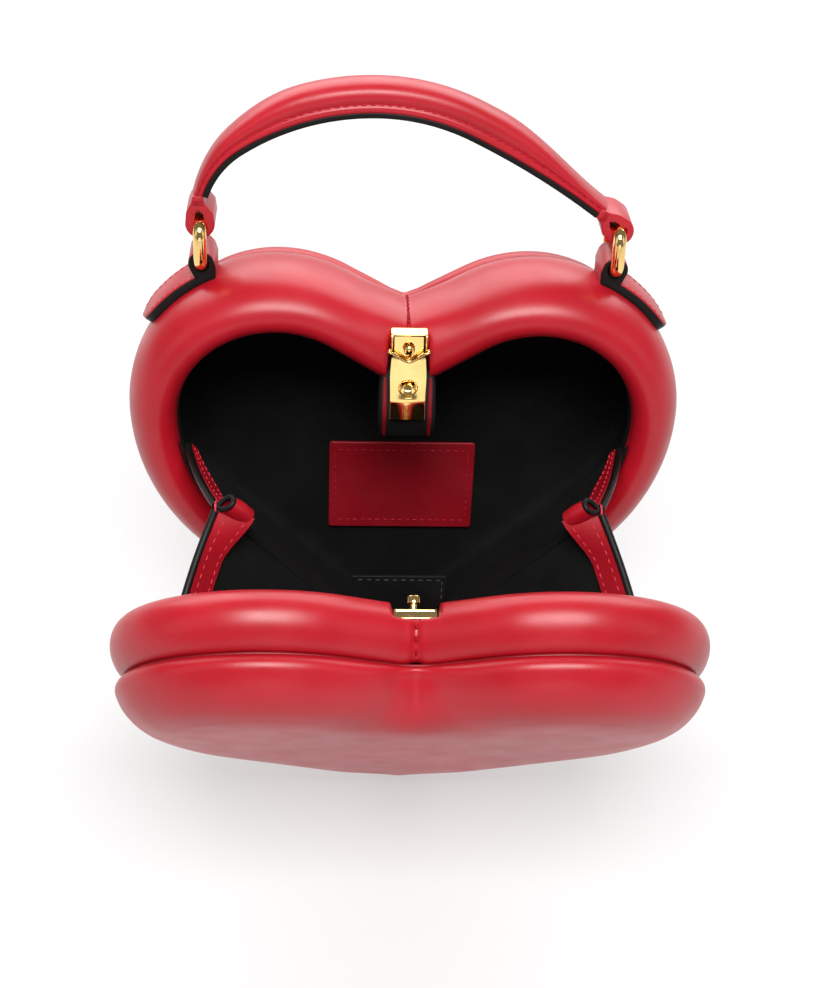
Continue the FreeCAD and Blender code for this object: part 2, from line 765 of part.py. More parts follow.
def make_tab(side, name):
    """Strap tab sewn along the shoulder and looped round the lower bar of its ring."""
    body = new_body(f"tab_{name}", BACK)
    mirror = -side
    lobe_at = (LOBE_X, WIDEST_U)
    outer = SHOULDER + s.tab_thickness
    low, high = s.ring_angle - s.tab_span, s.ring_angle
    bar = (RING_X, RING_BASE_U)

    def turned(point):
        return (mirror * point[0], point[1])

    def turned_arc(radius):
        ends = (low, high) if mirror > 0 else (180 - high, 180 - low)
        return arc(turned(lobe_at), radius, *ends)

    edges = [turned_arc(SHOULDER), turned_arc(outer)]
    for angle in (low, high):
        edges.append(line(turned(polar(lobe_at, SHOULDER, angle)), turned(polar(lobe_at, outer, angle))))
    pad(body, "strap", edges, "sizes.strap_width", STRAP_START)
    aim = s.ring_angle
    span = math.degrees(LOOP_RADIUS / SHOULDER)
    middle = SHOULDER + s.tab_thickness / 2
    neck = [
        polar(lobe_at, middle, aim + span),
        polar(lobe_at, middle, aim - 2 * span),
        polar(bar, LOOP_RADIUS, aim - 90),
        polar(bar, LOOP_RADIUS, aim + 90),
    ]
    pad(body, "neck", polygon([turned(p) for p in neck]), "sizes.strap_width", STRAP_START)
    pad(body, "loop", disc(turned(bar), LOOP_RADIUS), "sizes.strap_width", STRAP_START)
    pocket(body, "bore", disc(turned(bar), BORE_RADIUS), "sizes.strap_width", STRAP_START, outward=True)
    keep(f"tab_{name}", body)


def biarc(start, heading, end, end_heading):
    """Two arcs that turn right and meet in the direction of their chord: centre, radius, first and last angle."""
    p, q = Vector(*start, 0), Vector(*end, 0)
    chord = q - p
    slope = math.degrees(math.atan2(chord.y, chord.x))
    first, last = heading - slope, slope - end_heading
    share = (1 - cos(last)) / (1 - cos(first))
    radius = chord.Length / (share * sin(first) + sin(last))
    found = []
    for at, way, reach, turn in (
        (p, heading, share * radius, (heading, slope)),
        (q, end_heading, radius, (slope, end_heading)),
    ):
        centre = at + Vector(sin(way), -cos(way), 0) * reach
        found.append(((centre.x, centre.y), reach, turn[0] + 90, turn[1] + 90))
    return found


def handle_path():
    """Arcs of the strap's middle line, from the ring under the steeper end to the other one.

    The local x of the back half points to the left of the bag, so the path is drawn mirrored.
    """
    apex = (-s.apex_shift, RING_TOP_U + s.handle_rise)
    steep = (-RING_X, RING_TOP_U)
    slack = (RING_X, RING_TOP_U)
    return biarc(steep, s.steep_end_angle, apex, 0) + biarc(apex, 0, slack, -s.slack_end_angle)


def ribbon(path, inner, outer):
    """Closed outline between two offsets of a path of right-hand arcs, mirrored into the back half's frame."""
    edges = []
    for centre, radius, first, last in path:
        for offset in (inner, outer):
            edges.append(arc((-centre[0], centre[1]), radius + offset, 180 - first, 180 - last))
    for (centre, radius, first, last), angle in ((path[0], path[0][2]), (path[-1], path[-1][3])):
        at = (-centre[0], centre[1])
        edges.append(line(polar(at, radius + inner, 180 - angle), polar(at, radius + outer, 180 - angle)))
    return edges


def shortened(path, gap):
    """The path with a length taken off each end."""
    centre, radius, first, last = path[0]
    head = (centre, radius, first - math.degrees(gap / radius), last)
    centre, radius, first, last = path[-1]
    tail = (centre, radius, first, last + math.degrees(gap / radius))
    return [head, *path[1:-1], tail]


def make_handle():
    path = handle_path()
    strap = new_body("handle_strap", BACK)
    half = s.strap_thickness / 2
    pad(strap, "ribbon", ribbon(path, -half, half), "sizes.strap_width", STRAP_START)
    ends = [(side * RING_X, RING_TOP_U) for side in (-1, 1)]
    for i, end in enumerate(ends):
        pad(strap, f"loop_{i}", disc(end, LOOP_RADIUS), "sizes.strap_width", STRAP_START)
    for i, end in enumerate(ends):
        pocket(strap, f"bore_{i}", disc(end, BORE_RADIUS), "sizes.strap_width", STRAP_START, outward=True)
    keep("handle_strap", strap)
    cover = new_body("handle_pad", BACK)
    seat = half + 0.5 * s.seat_gap
    start = "sizes.ring_depth - 0.5 * sizes.pad_width"
    block = pad(cover, "ribbon", ribbon(shortened(path, s.pad_end_gap), seat, seat + s.pad_height),
                "sizes.pad_width", start)
    low = s.ring_depth - s.pad_width / 2
    outer = outer_edges(block, path, seat + s.pad_height, (low, low + s.pad_width))
    fillet(cover, "roll", block, outer, "sizes.pad_roll")
    keep("handle_pad", cover)


def outer_edges(feature, path, offset, heights):
    """Names of the edges along the outer curve of a ribbon, on both of its sides."""
    names = []
    for i, edge in enumerate(feature.Shape.Edges, start=1):
        box = edge.BoundBox
        flat = any(abs(box.ZMin - h) < 1e-6 and abs(box.ZMax - h) < 1e-6 for h in heights)
        if flat and hasattr(edge.Curve, "Radius"):
            if any(abs(edge.Curve.Radius - radius - offset) < 1e-6 for _, radius, _, _ in path):
                names.append(f"Edge{i}")
    return names


for side, name in ((-1, "left"), (1, "right")):
    make_ring(side, name)
    make_tab(side, name)
make_handle()


# Check every object and write the pieces

doc.recompute()
for item in doc.Objects:
    if "Invalid" in item.State or "Error" in item.State:
        raise RuntimeError(f"{item.Label}: {item.State}")
for label, item in nodes.items():
    if item.Shape.isNull() or not item.Shape.isValid():
        raise RuntimeError(f"{label} has no valid shape")

os.makedirs("parts", exist_ok=True)
for label, item in nodes.items():
    item.Shape.exportStep(os.path.join("parts", f"{label}.step"))

print(f"{len(nodes)} pieces")
print(f"hinge at {HINGE}, heart {WIDEST_U + s.lobe_radius:.2f} tall, widest at {WIDEST_U:.2f}")
for side in (-1, 1):
    print(f"ring {side:+d} lower bar at {in_room(BACK, side, RING_X, RING_BASE_U, s.ring_depth)}")
    print(f"ring {side:+d} upper bar at {in_room(BACK, side, RING_X, RING_TOP_U, s.ring_depth)}")
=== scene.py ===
"""Looks of the heart shaped purse: padded red leather halves, black lining, gold lock and rings.

Each half has a frame of its own: x across, u up from the tip of the heart, v outward from the rim plane,
in millimetres. place() turns them into metres of the room.
"""
import math

import bmesh
import bpy
import numpy as np
from mathutils import Matrix, Vector


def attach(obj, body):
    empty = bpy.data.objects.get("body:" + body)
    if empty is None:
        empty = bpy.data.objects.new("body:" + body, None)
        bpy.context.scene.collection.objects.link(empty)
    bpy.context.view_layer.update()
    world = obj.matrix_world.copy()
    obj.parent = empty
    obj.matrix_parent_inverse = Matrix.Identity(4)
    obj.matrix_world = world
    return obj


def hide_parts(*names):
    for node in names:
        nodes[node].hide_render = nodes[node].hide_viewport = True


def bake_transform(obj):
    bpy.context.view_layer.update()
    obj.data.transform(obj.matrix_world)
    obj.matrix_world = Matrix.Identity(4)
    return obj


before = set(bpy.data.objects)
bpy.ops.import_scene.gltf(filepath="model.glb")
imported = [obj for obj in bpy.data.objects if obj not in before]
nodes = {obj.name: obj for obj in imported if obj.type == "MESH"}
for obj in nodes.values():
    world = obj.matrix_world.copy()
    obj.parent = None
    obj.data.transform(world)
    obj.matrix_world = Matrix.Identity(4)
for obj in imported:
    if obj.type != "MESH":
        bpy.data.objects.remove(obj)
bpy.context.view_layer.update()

MM = 0.001
X = np.array((1.0, 0.0, 0.0))
HINGE = np.array((0.0, -41.268, 7.772))
LEAN, TILT = math.radians(12.0), math.radians(28.5)
UP = {
    "back": np.array((0.0, math.sin(LEAN), math.cos(LEAN))),
    "front": np.array((0.0, -math.sin(TILT), math.cos(TILT))),
}
OUT = {
    "back": np.array((0.0, math.cos(LEAN), -math.sin(LEAN))),
    "front": np.array((0.0, -math.cos(TILT), -math.sin(TILT))),
}
BODY = {"back": "back_half", "front": "front_half"}
SIDES = ((-1, "left"), (1, "right"))


def room(half, x, u, v):
    """A place of a half as a point of the room, in millimetres."""
    return HINGE + x * X + u * UP[half] + v * OUT[half]


def place(half, points):
    """Places (x, u, v) of a half as points of the room in metres, pressed flat on the floor."""
    p = np.asarray(points, float)
    q = HINGE + p[..., :1] * X + p[..., 1:2] * UP[half] + p[..., 2:3] * OUT[half]
    q[..., 2] = np.maximum(q[..., 2], 0.0)
    return q * MM


def unit(v):
    v = np.asarray(v, float)
    return v / np.linalg.norm(v, axis=-1, keepdims=True)


def arc_length(points):
    """Distance along a line of points, from the first to each of them."""
    return np.concatenate(([0.0], np.cumsum(np.linalg.norm(np.diff(points, axis=0), axis=1))))


def around(steps):
    """Angles of equal steps round a full turn."""
    return np.arange(steps) * 2 * math.pi / steps


def ray(angle):
    """The unit vector at an angle in a plane."""
    return np.array((math.cos(angle), math.sin(angle)))


def step_up(value, low, high):
    """0 below low, 1 above high, smooth between them."""
    t = np.clip((value - low) / (high - low), 0.0, 1.0)
    return t * t * (3 - 2 * t)


def bell(x, width):
    """1 in the middle, fading to both sides."""
    return np.exp(-((x / width) ** 2))


# Materials

def graph(name):
    """A new node material: its tree, its shader and the coordinates that its textures use."""
    material = bpy.data.materials.new(name)
    material.use_nodes = True
    tree = material.node_tree
    return material, tree, tree.nodes["Principled BSDF"], tree.nodes.new("ShaderNodeTexCoord").outputs["Object"]


def noise(tree, where, scale, detail=3.0):
    node = tree.nodes.new("ShaderNodeTexNoise")
    node.inputs["Scale"].default_value = scale
    node.inputs["Detail"].default_value = detail
    tree.links.new(where, node.inputs["Vector"])
    return node.outputs["Fac"]


def cells(tree, where, scale):
    node = tree.nodes.new("ShaderNodeTexVoronoi")
    node.inputs["Scale"].default_value = scale
    tree.links.new(where, node.inputs["Vector"])
    return node.outputs["Distance"]


def tint(tree, value, dark, light, shader, low=0.35, high=0.65):
    """Base colour between two shades."""
    node = tree.nodes.new("ShaderNodeValToRGB")
    first, last = node.color_ramp.elements
    first.position, last.position = low, high
    first.color, last.color = (*dark, 1.0), (*light, 1.0)
    tree.links.new(value, node.inputs["Fac"])
    tree.links.new(node.outputs["Color"], shader.inputs["Base Color"])


def gloss(tree, value, low, high, shader):
    """Roughness between two values."""
    node = tree.nodes.new("ShaderNodeMapRange")
    for socket, number in zip(("From Min", "From Max", "To Min", "To Max"), (0.3, 0.7, low, high)):
        node.inputs[socket].default_value = number
    tree.links.new(value, node.inputs["Value"])
    tree.links.new(node.outputs["Result"], shader.inputs["Roughness"])


def relief(tree, shader, *layers):
    """Bumps laid over each other, each a height with its strength and depth in metres."""
    normal = None
    for height, strength, depth in layers:
        node = tree.nodes.new("ShaderNodeBump")
        node.inputs["Strength"].default_value = strength
        node.inputs["Distance"].default_value = depth
        tree.links.new(height, node.inputs["Height"])
        if normal is not None:
            tree.links.new(normal, node.inputs["Normal"])
        normal = node.outputs["Normal"]
    tree.links.new(normal, shader.inputs["Normal"])


def leather(name, dark, light, low, high, grain=1500.0, ripple=0.25, specular=0.5):
    """Smooth calf leather: cloudy dye, fine pores, slow ripples and an uneven finish."""
    material, tree, shader, where = graph(name)
    tint(tree, noise(tree, where, 28.0, 4.0), dark, light, shader)
    gloss(tree, noise(tree, where, 90.0, 3.0), low, high, shader)
    relief(
        tree, shader,
        (noise(tree, where, 42.0, 2.0), ripple, 0.0007),
        (noise(tree, where, 420.0, 4.0), 0.07, 0.0002),
        (cells(tree, where, grain), 0.05, 0.00012),
    )
    shader.inputs["Specular IOR Level"].default_value = specular
    return material


def cloth(name, dark, light):
    """Matt woven lining."""
    material, tree, shader, where = graph(name)
    tint(tree, noise(tree, where, 60.0, 5.0), dark, light, shader)
    gloss(tree, noise(tree, where, 300.0), 0.82, 0.96, shader)
    relief(
        tree, shader,
        (noise(tree, where, 35.0, 2.0), 0.3, 0.0008),
        (cells(tree, where, 2600.0), 0.35, 0.00015),
    )
    shader.inputs["Specular IOR Level"].default_value = 0.18
    return material


def metal(name, dark, light, low, high):
    """Plated brass with faint polishing marks."""
    material, tree, shader, where = graph(name)
    tint(tree, noise(tree, where, 150.0, 2.0), dark, light, shader)
    gloss(tree, noise(tree, where, 500.0, 4.0), low, high, shader)
    relief(tree, shader, (noise(tree, where, 260.0, 3.0), 0.06, 0.0001))
    shader.inputs["Metallic"].default_value = 1.0
    return material


def yarn(name, dark, light):
    """Waxed thread with its twist."""
    material, tree, shader, where = graph(name)
    tint(tree, noise(tree, where, 700.0), dark, light, shader)
    gloss(tree, noise(tree, where, 900.0), 0.4, 0.6, shader)
    twist = tree.nodes.new("ShaderNodeTexWave")
    twist.bands_direction = "DIAGONAL"
    twist.inputs["Scale"].default_value = 900.0
    tree.links.new(where, twist.inputs["Vector"])
    relief(tree, shader, (twist.outputs["Fac"], 0.5, 0.0002))
    shader.inputs["Specular IOR Level"].default_value = 0.2
    return material


RED = leather("red_leather", (0.35, 0.004, 0.011), (0.405, 0.006, 0.016), 0.32, 0.40, ripple=0.1, specular=0.44)
# Deep red leather for the lock tongue's binding strips; on the piping in the grooves its dark colour is painted shade
DEEP_RED_AND_GROOVE_SHADE = leather("deep_red_and_groove_shade_leather", (0.16, 0.001, 0.005), (0.22, 0.002, 0.008), 0.40, 0.52)
HEM_RED = leather("hem_leather", (0.27, 0.002, 0.008), (0.35, 0.004, 0.012), 0.42, 0.54, ripple=0.4, specular=0.3)
LABEL_RED = leather("label_leather", (0.24, 0.002, 0.008), (0.31, 0.004, 0.012), 0.42, 0.55, grain=1100.0)
BLACK_LEATHER = leather("black_leather", (0.004, 0.004, 0.004), (0.007, 0.007, 0.0065), 0.5, 0.65, specular=0.3)
EDGE_PAINT = leather("edge_paint", (0.003, 0.003, 0.0025), (0.006, 0.0055, 0.005), 0.42, 0.56, 2500.0, specular=0.2)
LINING = cloth("black_lining", (0.0024, 0.0026, 0.0024), (0.0046, 0.0048, 0.0045))
BOARD = cloth("stiff_board", (0.10, 0.08, 0.06), (0.16, 0.13, 0.10))
GOLD = metal("gold_metal", (0.92, 0.61, 0.22), (0.97, 0.68, 0.28), 0.06, 0.13)
RED_THREAD = yarn("red_thread", (0.36, 0.008, 0.02), (0.46, 0.015, 0.035))
PALE_THREAD = yarn("pale_red_thread", (0.58, 0.03, 0.055), (0.68, 0.05, 0.08))
DARK_THREAD = yarn("dark_red_thread", (0.27, 0.002, 0.008), (0.35, 0.003, 0.012))
GREY_THREAD = yarn("grey_thread", (0.05, 0.05, 0.045), (0.08, 0.08, 0.07))


# Mesh building

def show(name, data):
    """A new object in the scene."""
    thing = bpy.data.objects.new(name, data)
    bpy.context.scene.collection.objects.link(thing)
    return thing


def add(name, form, material, body, slot, replaces=(), sharp=45.0):
    """A smooth shaded piece from its vertices and faces, that rides on a body and stands for CAD nodes."""
    mesh = bpy.data.meshes.new(name)
    verts, faces = form
    mesh.from_pydata([tuple(v) for v in np.asarray(verts, float)], [], [tuple(f) for f in faces])
    work = bmesh.new()
    work.from_mesh(mesh)
    bmesh.ops.recalc_face_normals(work, faces=work.faces)
    work.to_mesh(mesh)
    work.free()
    mesh.polygons.foreach_set("use_smooth", [True] * len(mesh.polygons))
    mesh.set_sharp_from_angle(angle=math.radians(sharp))
    mesh.materials.append(material)
    piece = show(name, mesh)
    if body:
        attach(piece, body)
    if replaces:
        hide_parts(*replaces)
    return piece


def grid(rows, cols, wrap_rows, wrap_cols, start=0):
    faces = []
    for i in range(rows if wrap_rows else rows - 1):
        for j in range(cols if wrap_cols else cols - 1):
            k, n = (i + 1) % rows, (j + 1) % cols
            faces.append((start + i * cols + j, start + i * cols + n, start + k * cols + n, start + k * cols + j))
    return faces


def loft(rings, closed=False, caps=(True, True)):
    """Vertices and faces of a skin over closed rings, with fans over its ends."""
    rings = np.asarray(rings, float)
    rows, cols = rings.shape[:2]
    verts = list(rings.reshape(-1, 3))
    faces = grid(rows, cols, closed, True)
    for wanted, row in zip(caps, (0, rows - 1)):
        if wanted and not closed:
            middle = len(verts)
            verts.append(rings[row].mean(axis=0))
            faces += [(row * cols + j, row * cols + (j + 1) % cols, middle) for j in range(cols)]
    return verts, faces


def smooth(points, per, closed):
    """A curve through points, several steps between each two of them."""
    p = np.asarray(points, float)
    n = len(p)
    found = []
    for i in range(n if closed else n - 1):
        a, b, c, d = (p[(i + k) % n] if closed else p[min(max(i + k, 0), n - 1)] for k in (-1, 0, 1, 2))
        for t in np.arange(per) / per:
            found.append(
                0.5 * (2 * b + (c - a) * t + (2 * a - 5 * b + 4 * c - d) * t**2 + (3 * b - a - 3 * c + d) * t**3)
            )
    if not closed:
        found.append(p[-1])
    return np.array(found)


def sheet_metal(outlines, half_depth, bevel, origin, along_x, along_y):
    """A flat piece from closed outlines in millimetres, with rounded edges, placed in the room."""
    curve = bpy.data.curves.new("outline", "CURVE")
    curve.dimensions = "2D"
    curve.fill_mode = "BOTH"
    curve.extrude = (half_depth - bevel) * MM
    curve.bevel_depth = bevel * MM
    curve.bevel_resolution = 3
    curve.offset = -bevel * MM
    for points in outlines:
        spline = curve.splines.new("POLY")
        spline.points.add(len(points) - 1)
        for slot, (x, y) in zip(spline.points, points):
            slot.co = (x * MM, y * MM, 0.0, 1.0)
        spline.use_cyclic_u = True
    holder = bpy.data.objects.new("outline", curve)
    mesh = bpy.data.meshes.new_from_object(holder)
    work = bmesh.new()
    work.from_mesh(mesh)
    bmesh.ops.remove_doubles(work, verts=work.verts, dist=1e-6)
    work.verts.index_update()
    flat = np.array([v.co for v in work.verts])
    faces = [tuple(v.index for v in f.verts) for f in work.faces]
    work.free()
    bpy.data.objects.remove(holder)
    bpy.data.curves.remove(curve)
    bpy.data.meshes.remove(mesh)
    ax, ay = unit(along_x), unit(along_y)
    az = np.cross(ax, ay)
    verts = np.asarray(origin) * MM + flat[:, :1] * ax + flat[:, 1:2] * ay + flat[:, 2:] * az
    return verts, faces


def rounded(left, bottom, right, top, radius, steps=5):
    """Outline of a rectangle with round corners."""
    found = []
    for cx, cy, first in (
        (right - radius, bottom + radius, -90), (right - radius, top - radius, 0),
        (left + radius, top - radius, 90), (left + radius, bottom + radius, 180),
    ):
        for a in np.radians(np.linspace(first, first + 90, steps + 1)):
            found.append((cx + radius * math.cos(a), cy + radius * math.sin(a)))
    return found


def circle(x, y, radius, steps=40):
    return [(x + radius * math.cos(a), y + radius * math.sin(a)) for a in around(steps)]


def merge(*parts):
    """Several vertex and face lists as one."""
    verts, faces = [], []
    for v, f in parts:
        start = len(verts)
        verts += [tuple(p) for p in v]
        faces += [tuple(i + start for i in face) for face in f]
    return verts, faces


def tube(points, radius, sides=12, closed=False):
    """Vertices and faces of a round tube along points."""
    p = np.asarray(points, float)
    if closed:
        t = unit(np.roll(p, -1, axis=0) - np.roll(p, 1, axis=0))
    else:
        t = unit(np.gradient(p, axis=0))
    n = np.cross(t[0], (0.31, 0.53, 0.79))
    rings = []
    for at, way in zip(p, t):
        n = unit(n - way * np.dot(n, way))
        b = np.cross(way, n)
        a = around(sides)
        rings.append(at + radius * (np.cos(a)[:, None] * n + np.sin(a)[:, None] * b))
    return loft(rings, closed=closed)


def ball(centre, axes, rows=10, cols=16):
    """Vertices and faces of an ellipsoid with the given half axes."""
    a, b, c = (np.asarray(v, float) for v in axes)
    t = np.linspace(0.06, math.pi - 0.06, rows)[:, None, None]
    f = around(cols)[None, :, None]
    return loft(np.asarray(centre) + np.sin(t) * (np.cos(f) * a + np.sin(f) * b) + np.cos(t) * c)


def dashes(points, normals, pitch, length):
    """Straight stitches along a line: both ends and the normal of each, in metres."""
    p, n = np.asarray(points, float), np.asarray(normals, float)
    n = np.broadcast_to(n, p.shape)
    along = arc_length(p)
    found = []
    count = max(int(along[-1] / (pitch * MM)), 1)
    for centre in (np.arange(count) + 0.5) * along[-1] / count:
        start, end = (
            np.array([np.interp(centre + e * length * MM, along, p[:, k]) for k in range(3)]) for e in (-0.5, 0.5)
        )
        found.append((start, end, unit([np.interp(centre, along, n[:, k]) for k in range(3)])))
    return found


def thread(name, runs, radius, material, body, slot):
    """All the stitches of some seams as one piece; each dips into the leather at its ends."""
    parts = []
    for start, end, normal in runs:
        way = unit(end - start)
        side = np.cross(normal, way)
        rings = []
        for t, size, lift in ((0, 0.45, -0.6), (0.2, 0.9, 0.15), (0.5, 1, 0.4), (0.8, 0.9, 0.15), (1, 0.45, -0.6)):
            a = around(7)
            middle = start + (end - start) * t + normal * lift * radius * MM
            ring = np.cos(a)[:, None] * side + np.sin(a)[:, None] * normal
            rings.append(middle + radius * MM * size * ring)
        parts.append(loft(rings))
    add(name, merge(*parts), material, body, slot, sharp=80.0)


# The heart outline, sampled once: points and outward normals, anticlockwise from the tip

def heart_path():
    """Points and outward normals of the outline, and the index of the notch."""
    points, normals = [], []

    def arc(cx, cy, radius, first, last, count, sign=1.0):
        for a in np.radians(np.linspace(first, last, count, endpoint=False)):
            points.append(np.array((cx, cy)) + radius * ray(a))
            normals.append(sign * ray(a))

    def run(start, end, angle, count):
        for t in np.linspace(0.0, 1.0, count, endpoint=False):
            points.append(start + (end - start) * t)
            normals.append(ray(math.radians(angle)))

    def at(cx, cy, radius, angle):
        return np.array((cx, cy)) + radius * ray(math.radians(angle))

    arc(0, TIP_R, TIP_R, -90, -FLANK_ANGLE, 9)
    run(at(0, TIP_R, TIP_R, -FLANK_ANGLE), at(FLANK_X, WIDEST, FLANK_R, -FLANK_ANGLE), -FLANK_ANGLE, 34)
    arc(FLANK_X, WIDEST, FLANK_R, -FLANK_ANGLE, 0, 26)
    arc(LOBE_X, WIDEST, LOBE_R, 0, 90 + SLOPE, 48)
    run(at(LOBE_X, WIDEST, LOBE_R, 90 + SLOPE), at(0, NOTCH_U, NOTCH_R, SLOPE - 90), 90 + SLOPE, 20)
    arc(0, NOTCH_U, NOTCH_R, SLOPE - 90, -90, 20, -1.0)
    right = len(points)
    points.append(at(0, NOTCH_U, NOTCH_R, -90))
    normals.append(np.array((0.0, 1.0)))
    for i in range(right - 1, 0, -1):
        points.append(points[i] * (-1, 1))
        normals.append(normals[i] * (-1, 1))
    return np.array(points), np.array(normals), right


WIDEST, HEART_MIDDLE = 118.65, 92.0
TIP_R, FLANK_X, FLANK_R, FLANK_ANGLE = 22.0, 23.0, 77.0, 47.0
LOBE_X, LOBE_R = 47.5, 52.5
NOTCH_U, NOTCH_R, SLOPE = 160.3, 8.0, 32.0
EDGE, EDGE_OUT, NOTCH = heart_path()
NEAR_NOTCH = (EDGE[:, 1] > 125.0).astype(float)


def inset(distance, height):
    """A ring of the heart drawn in by a distance, at a height over the rim plane."""
    distance = np.broadcast_to(distance, len(EDGE))[:, None]
    height = np.broadcast_to(height, len(EDGE))[:, None]
    return np.concatenate((EDGE - distance * EDGE_OUT, height), axis=1)


def cut_for_lock(ring, narrow, wide, deep):
    """Keep a ring near the notch at least this deep behind the rim plane, so that the lock has room."""
    near = NEAR_NOTCH * (1.0 - step_up(np.abs(ring[:, 0]), narrow, wide))
    ring[:, 2] += near * np.maximum(deep - ring[:, 2], 0.0)


def shrunk(ring, zoom):
    """A ring drawn together towards the middle of the heart."""
    found = ring.copy()
    found[:, 0] *= zoom
    found[:, 1] = HEART_MIDDLE + (found[:, 1] - HEART_MIDDLE) * zoom
    return found


# Bands with their padded rolled rims: sections as (inset, height over the rim plane)

BAND = {
    "back": [
        (5.2, 45.4), (2.9, 43.8), (0.6, 40.2), (-1.3, 34.6), (-2.5, 27), (-2.5, 18), (-1.1, 11), (1.6, 5.6),
        (5.2, 2), (9.3, 0.7), (12.6, 1.3), (14.9, 3.6), (15.8, 6.5), (16, 10), (15.5, 13.8), (12, 14), (8, 14.2),
        (7.2, 20), (7.1, 40), (7, 45.4),
    ],
    "front": [
        (5.2, 20.8), (4.1, 20.2), (2.2, 18), (0.5, 14.4), (-0.1, 10.7), (0.3, 7.3), (1.7, 4.4), (4.4, 2), (8.5, 0.7),
        (12.6, 1.3), (14.9, 3.6), (15.8, 6.5), (16, 10), (15.5, 13.8), (12, 14), (8, 14.2), (7.1, 15.4), (7, 20.8),
    ],
}
GAP_HALF = 7.0
GAP_END = {"back": 7.6, "front": 8.2}
GAP_DEEP = {"back": 9.0, "front": 7.2}
ROLL_INSET, ROLL_HEIGHT, ROLL_TOP = 8.0, 10.0, 24.0
CREASE = {"back": 0.9, "front": 1.1}
NOTCH_FILL = 4.3
band_rings = {}
for half in BAND:
    profile = smooth(BAND[half], 4, True)
    rings = []
    for distance, height in profile:
        x = EDGE[:, 0]
        outside = np.clip((12.0 - distance) / 8.0, 0.0, 1.0)
        d = np.full(len(EDGE), distance)
        v = np.full(len(EDGE), height)
        if half == "back":
            filled = NOTCH_FILL * (0.4 + 0.6 * step_up(height, 0.0, 9.0)) * (1.0 - step_up(height, 28.0, 44.0))
            d -= filled * NEAR_NOTCH * outside * bell(x, 15.0)
        sink = NEAR_NOTCH * bell(x, 1.5) * CREASE[half]
        reach = math.hypot(ROLL_INSET - distance, ROLL_HEIGHT - height)
        d += sink * (ROLL_INSET - distance) / reach
        v += sink * (ROLL_HEIGHT - height) / reach * (height < ROLL_TOP)
        ring = inset(d, v)
        deep = GAP_DEEP[half]
        if half == "back":
            deep = deep - 4.0 * step_up(ring[:, 1], 140.0, 146.0)
        cut_for_lock(ring, GAP_HALF, GAP_END[half], deep)
        ring[:, 2] = np.maximum(ring[:, 2], 0.5)
        rings.append(ring)
    band_rings[half] = np.array(rings)
    form = loft(place(half, rings), closed=True)
    band = add(f"{half}_band_leather", form, RED, BODY[half], "red_leather", (f"{half}_band",), 70.0)


# Padded panels, with the dark piping that closes the seam to the band; the piping's dark colour is painted shade in
# the groove

PANEL = {
    "back": [
        (9.5, 0.2), (8, 0.5), (6, 2), (4.9, 4.5), (4.7, 7), (5.5, 10), (7.6, 13), (10.8, 15.6), (15, 17.4),
        (20, 18.6),
    ],
    "front": [
        (6.5, 0.1), (4.9, 0.5), (3.4, 1.4), (2.4, 3), (2.3, 4.6), (2.9, 6.2), (4.3, 8.6), (6.6, 11.2), (10, 14),
        (14.5, 16.4), (20.5, 18.2),
    ],
}
# The face over it, as (share of the width, height); then where each panel starts, how much fuller its face is, how
# deep it dips and how far it stands up at the notch, and the inset, height and radius of the piping, whose dark
# colour is painted groove shade
CROWN = [(0.85, 18.9), (0.65, 19.2), (0.4, 19.3), (0.2, 19.35)]
DEPTH = {"back": 45.9, "front": 21.2}
FULLER = {"back": 0.0, "front": 1.5}
DENT = {"back": 0.0, "front": 2.2}
PROUD = {"back": 1.6, "front": 0.0}
GROOVE_SHADE_PIPING = {"back": (3.9, 0.3, 0.7), "front": (6.4, 0.1, 0.6)}
for half in BAND:
    rings = []
    above_tip = step_up(EDGE[:, 1], 4.0, 30.0)
    for distance, height in smooth(PANEL[half], 3, False):
        x = EDGE[:, 0]
        fade = NEAR_NOTCH * (1.0 - step_up(distance, 4.0, 20.0)) * step_up(height, 0.2, 6.0)
        dent = fade * (DENT[half] * bell(x, 9.0) + 0.7 * bell(x, 1.6))
        fuller = FULLER[half] * step_up(height, 1.0, 15.0) * above_tip
        proud = PROUD[half] * fade * bell(x, 20.0)
        rings.append(inset(distance + dent - proud, DEPTH[half] + height + fuller - 0.4 * dent))
    last = rings[-1]
    for zoom, height in CROWN:
        ring = shrunk(last, zoom)
        ring[:, 2] = DEPTH[half] + height + FULLER[half] * (1.0 - zoom * (1.0 - above_tip))
        rings.append(ring)
    form = loft(place(half, rings))
    panel = add(f"{half}_panel_cushion", form, RED, BODY[half], "red_leather", (f"{half}_panel",), 70.0)
    distance, height, radius = GROOVE_SHADE_PIPING[half]
    # The piping is a dark bead sunk in the groove between band and panel: its dark colour is painted shade
    form = tube(place(half, inset(distance, DEPTH[half] + height)), radius * MM, 8, closed=True)
    add(f"{half}_groove_shade_piping", form, DEEP_RED_AND_GROOVE_SHADE, BODY[half], "red_leather")


# Lining trays

TRAY = {
    "back": [
        (15, 6), (16.4, 9.5), (16.3, 13), (14, 15.5), (10, 18), (8.9, 22), (8.6, 32), (8.8, 40), (10.5, 43),
        (14, 43.9), (19, 44),
    ],
    "front": [
        (15, 6), (16.4, 8.6), (16.3, 11.8), (14.2, 14.4), (10.2, 15), (9, 15.7), (9.6, 16.5), (12, 16.9), (19, 17),
    ],
}
TRAY_DEEP = {"back": 11.4, "front": 14.6}
for half in TRAY:
    rings = []
    for distance, height in smooth(TRAY[half], 3, False):
        ring = inset(distance, height)
        cut_for_lock(ring, 10.2, 12.0, TRAY_DEEP[half])
        rings.append(ring)
    rings += [shrunk(rings[-1], zoom) for zoom in (0.8, 0.5, 0.2)]
    form = loft(place(half, rings), caps=(False, True))
    add(f"{half}_lining_tray", form, LINING, BODY[half], "black_lining", (f"{half}_lining",), 70.0)

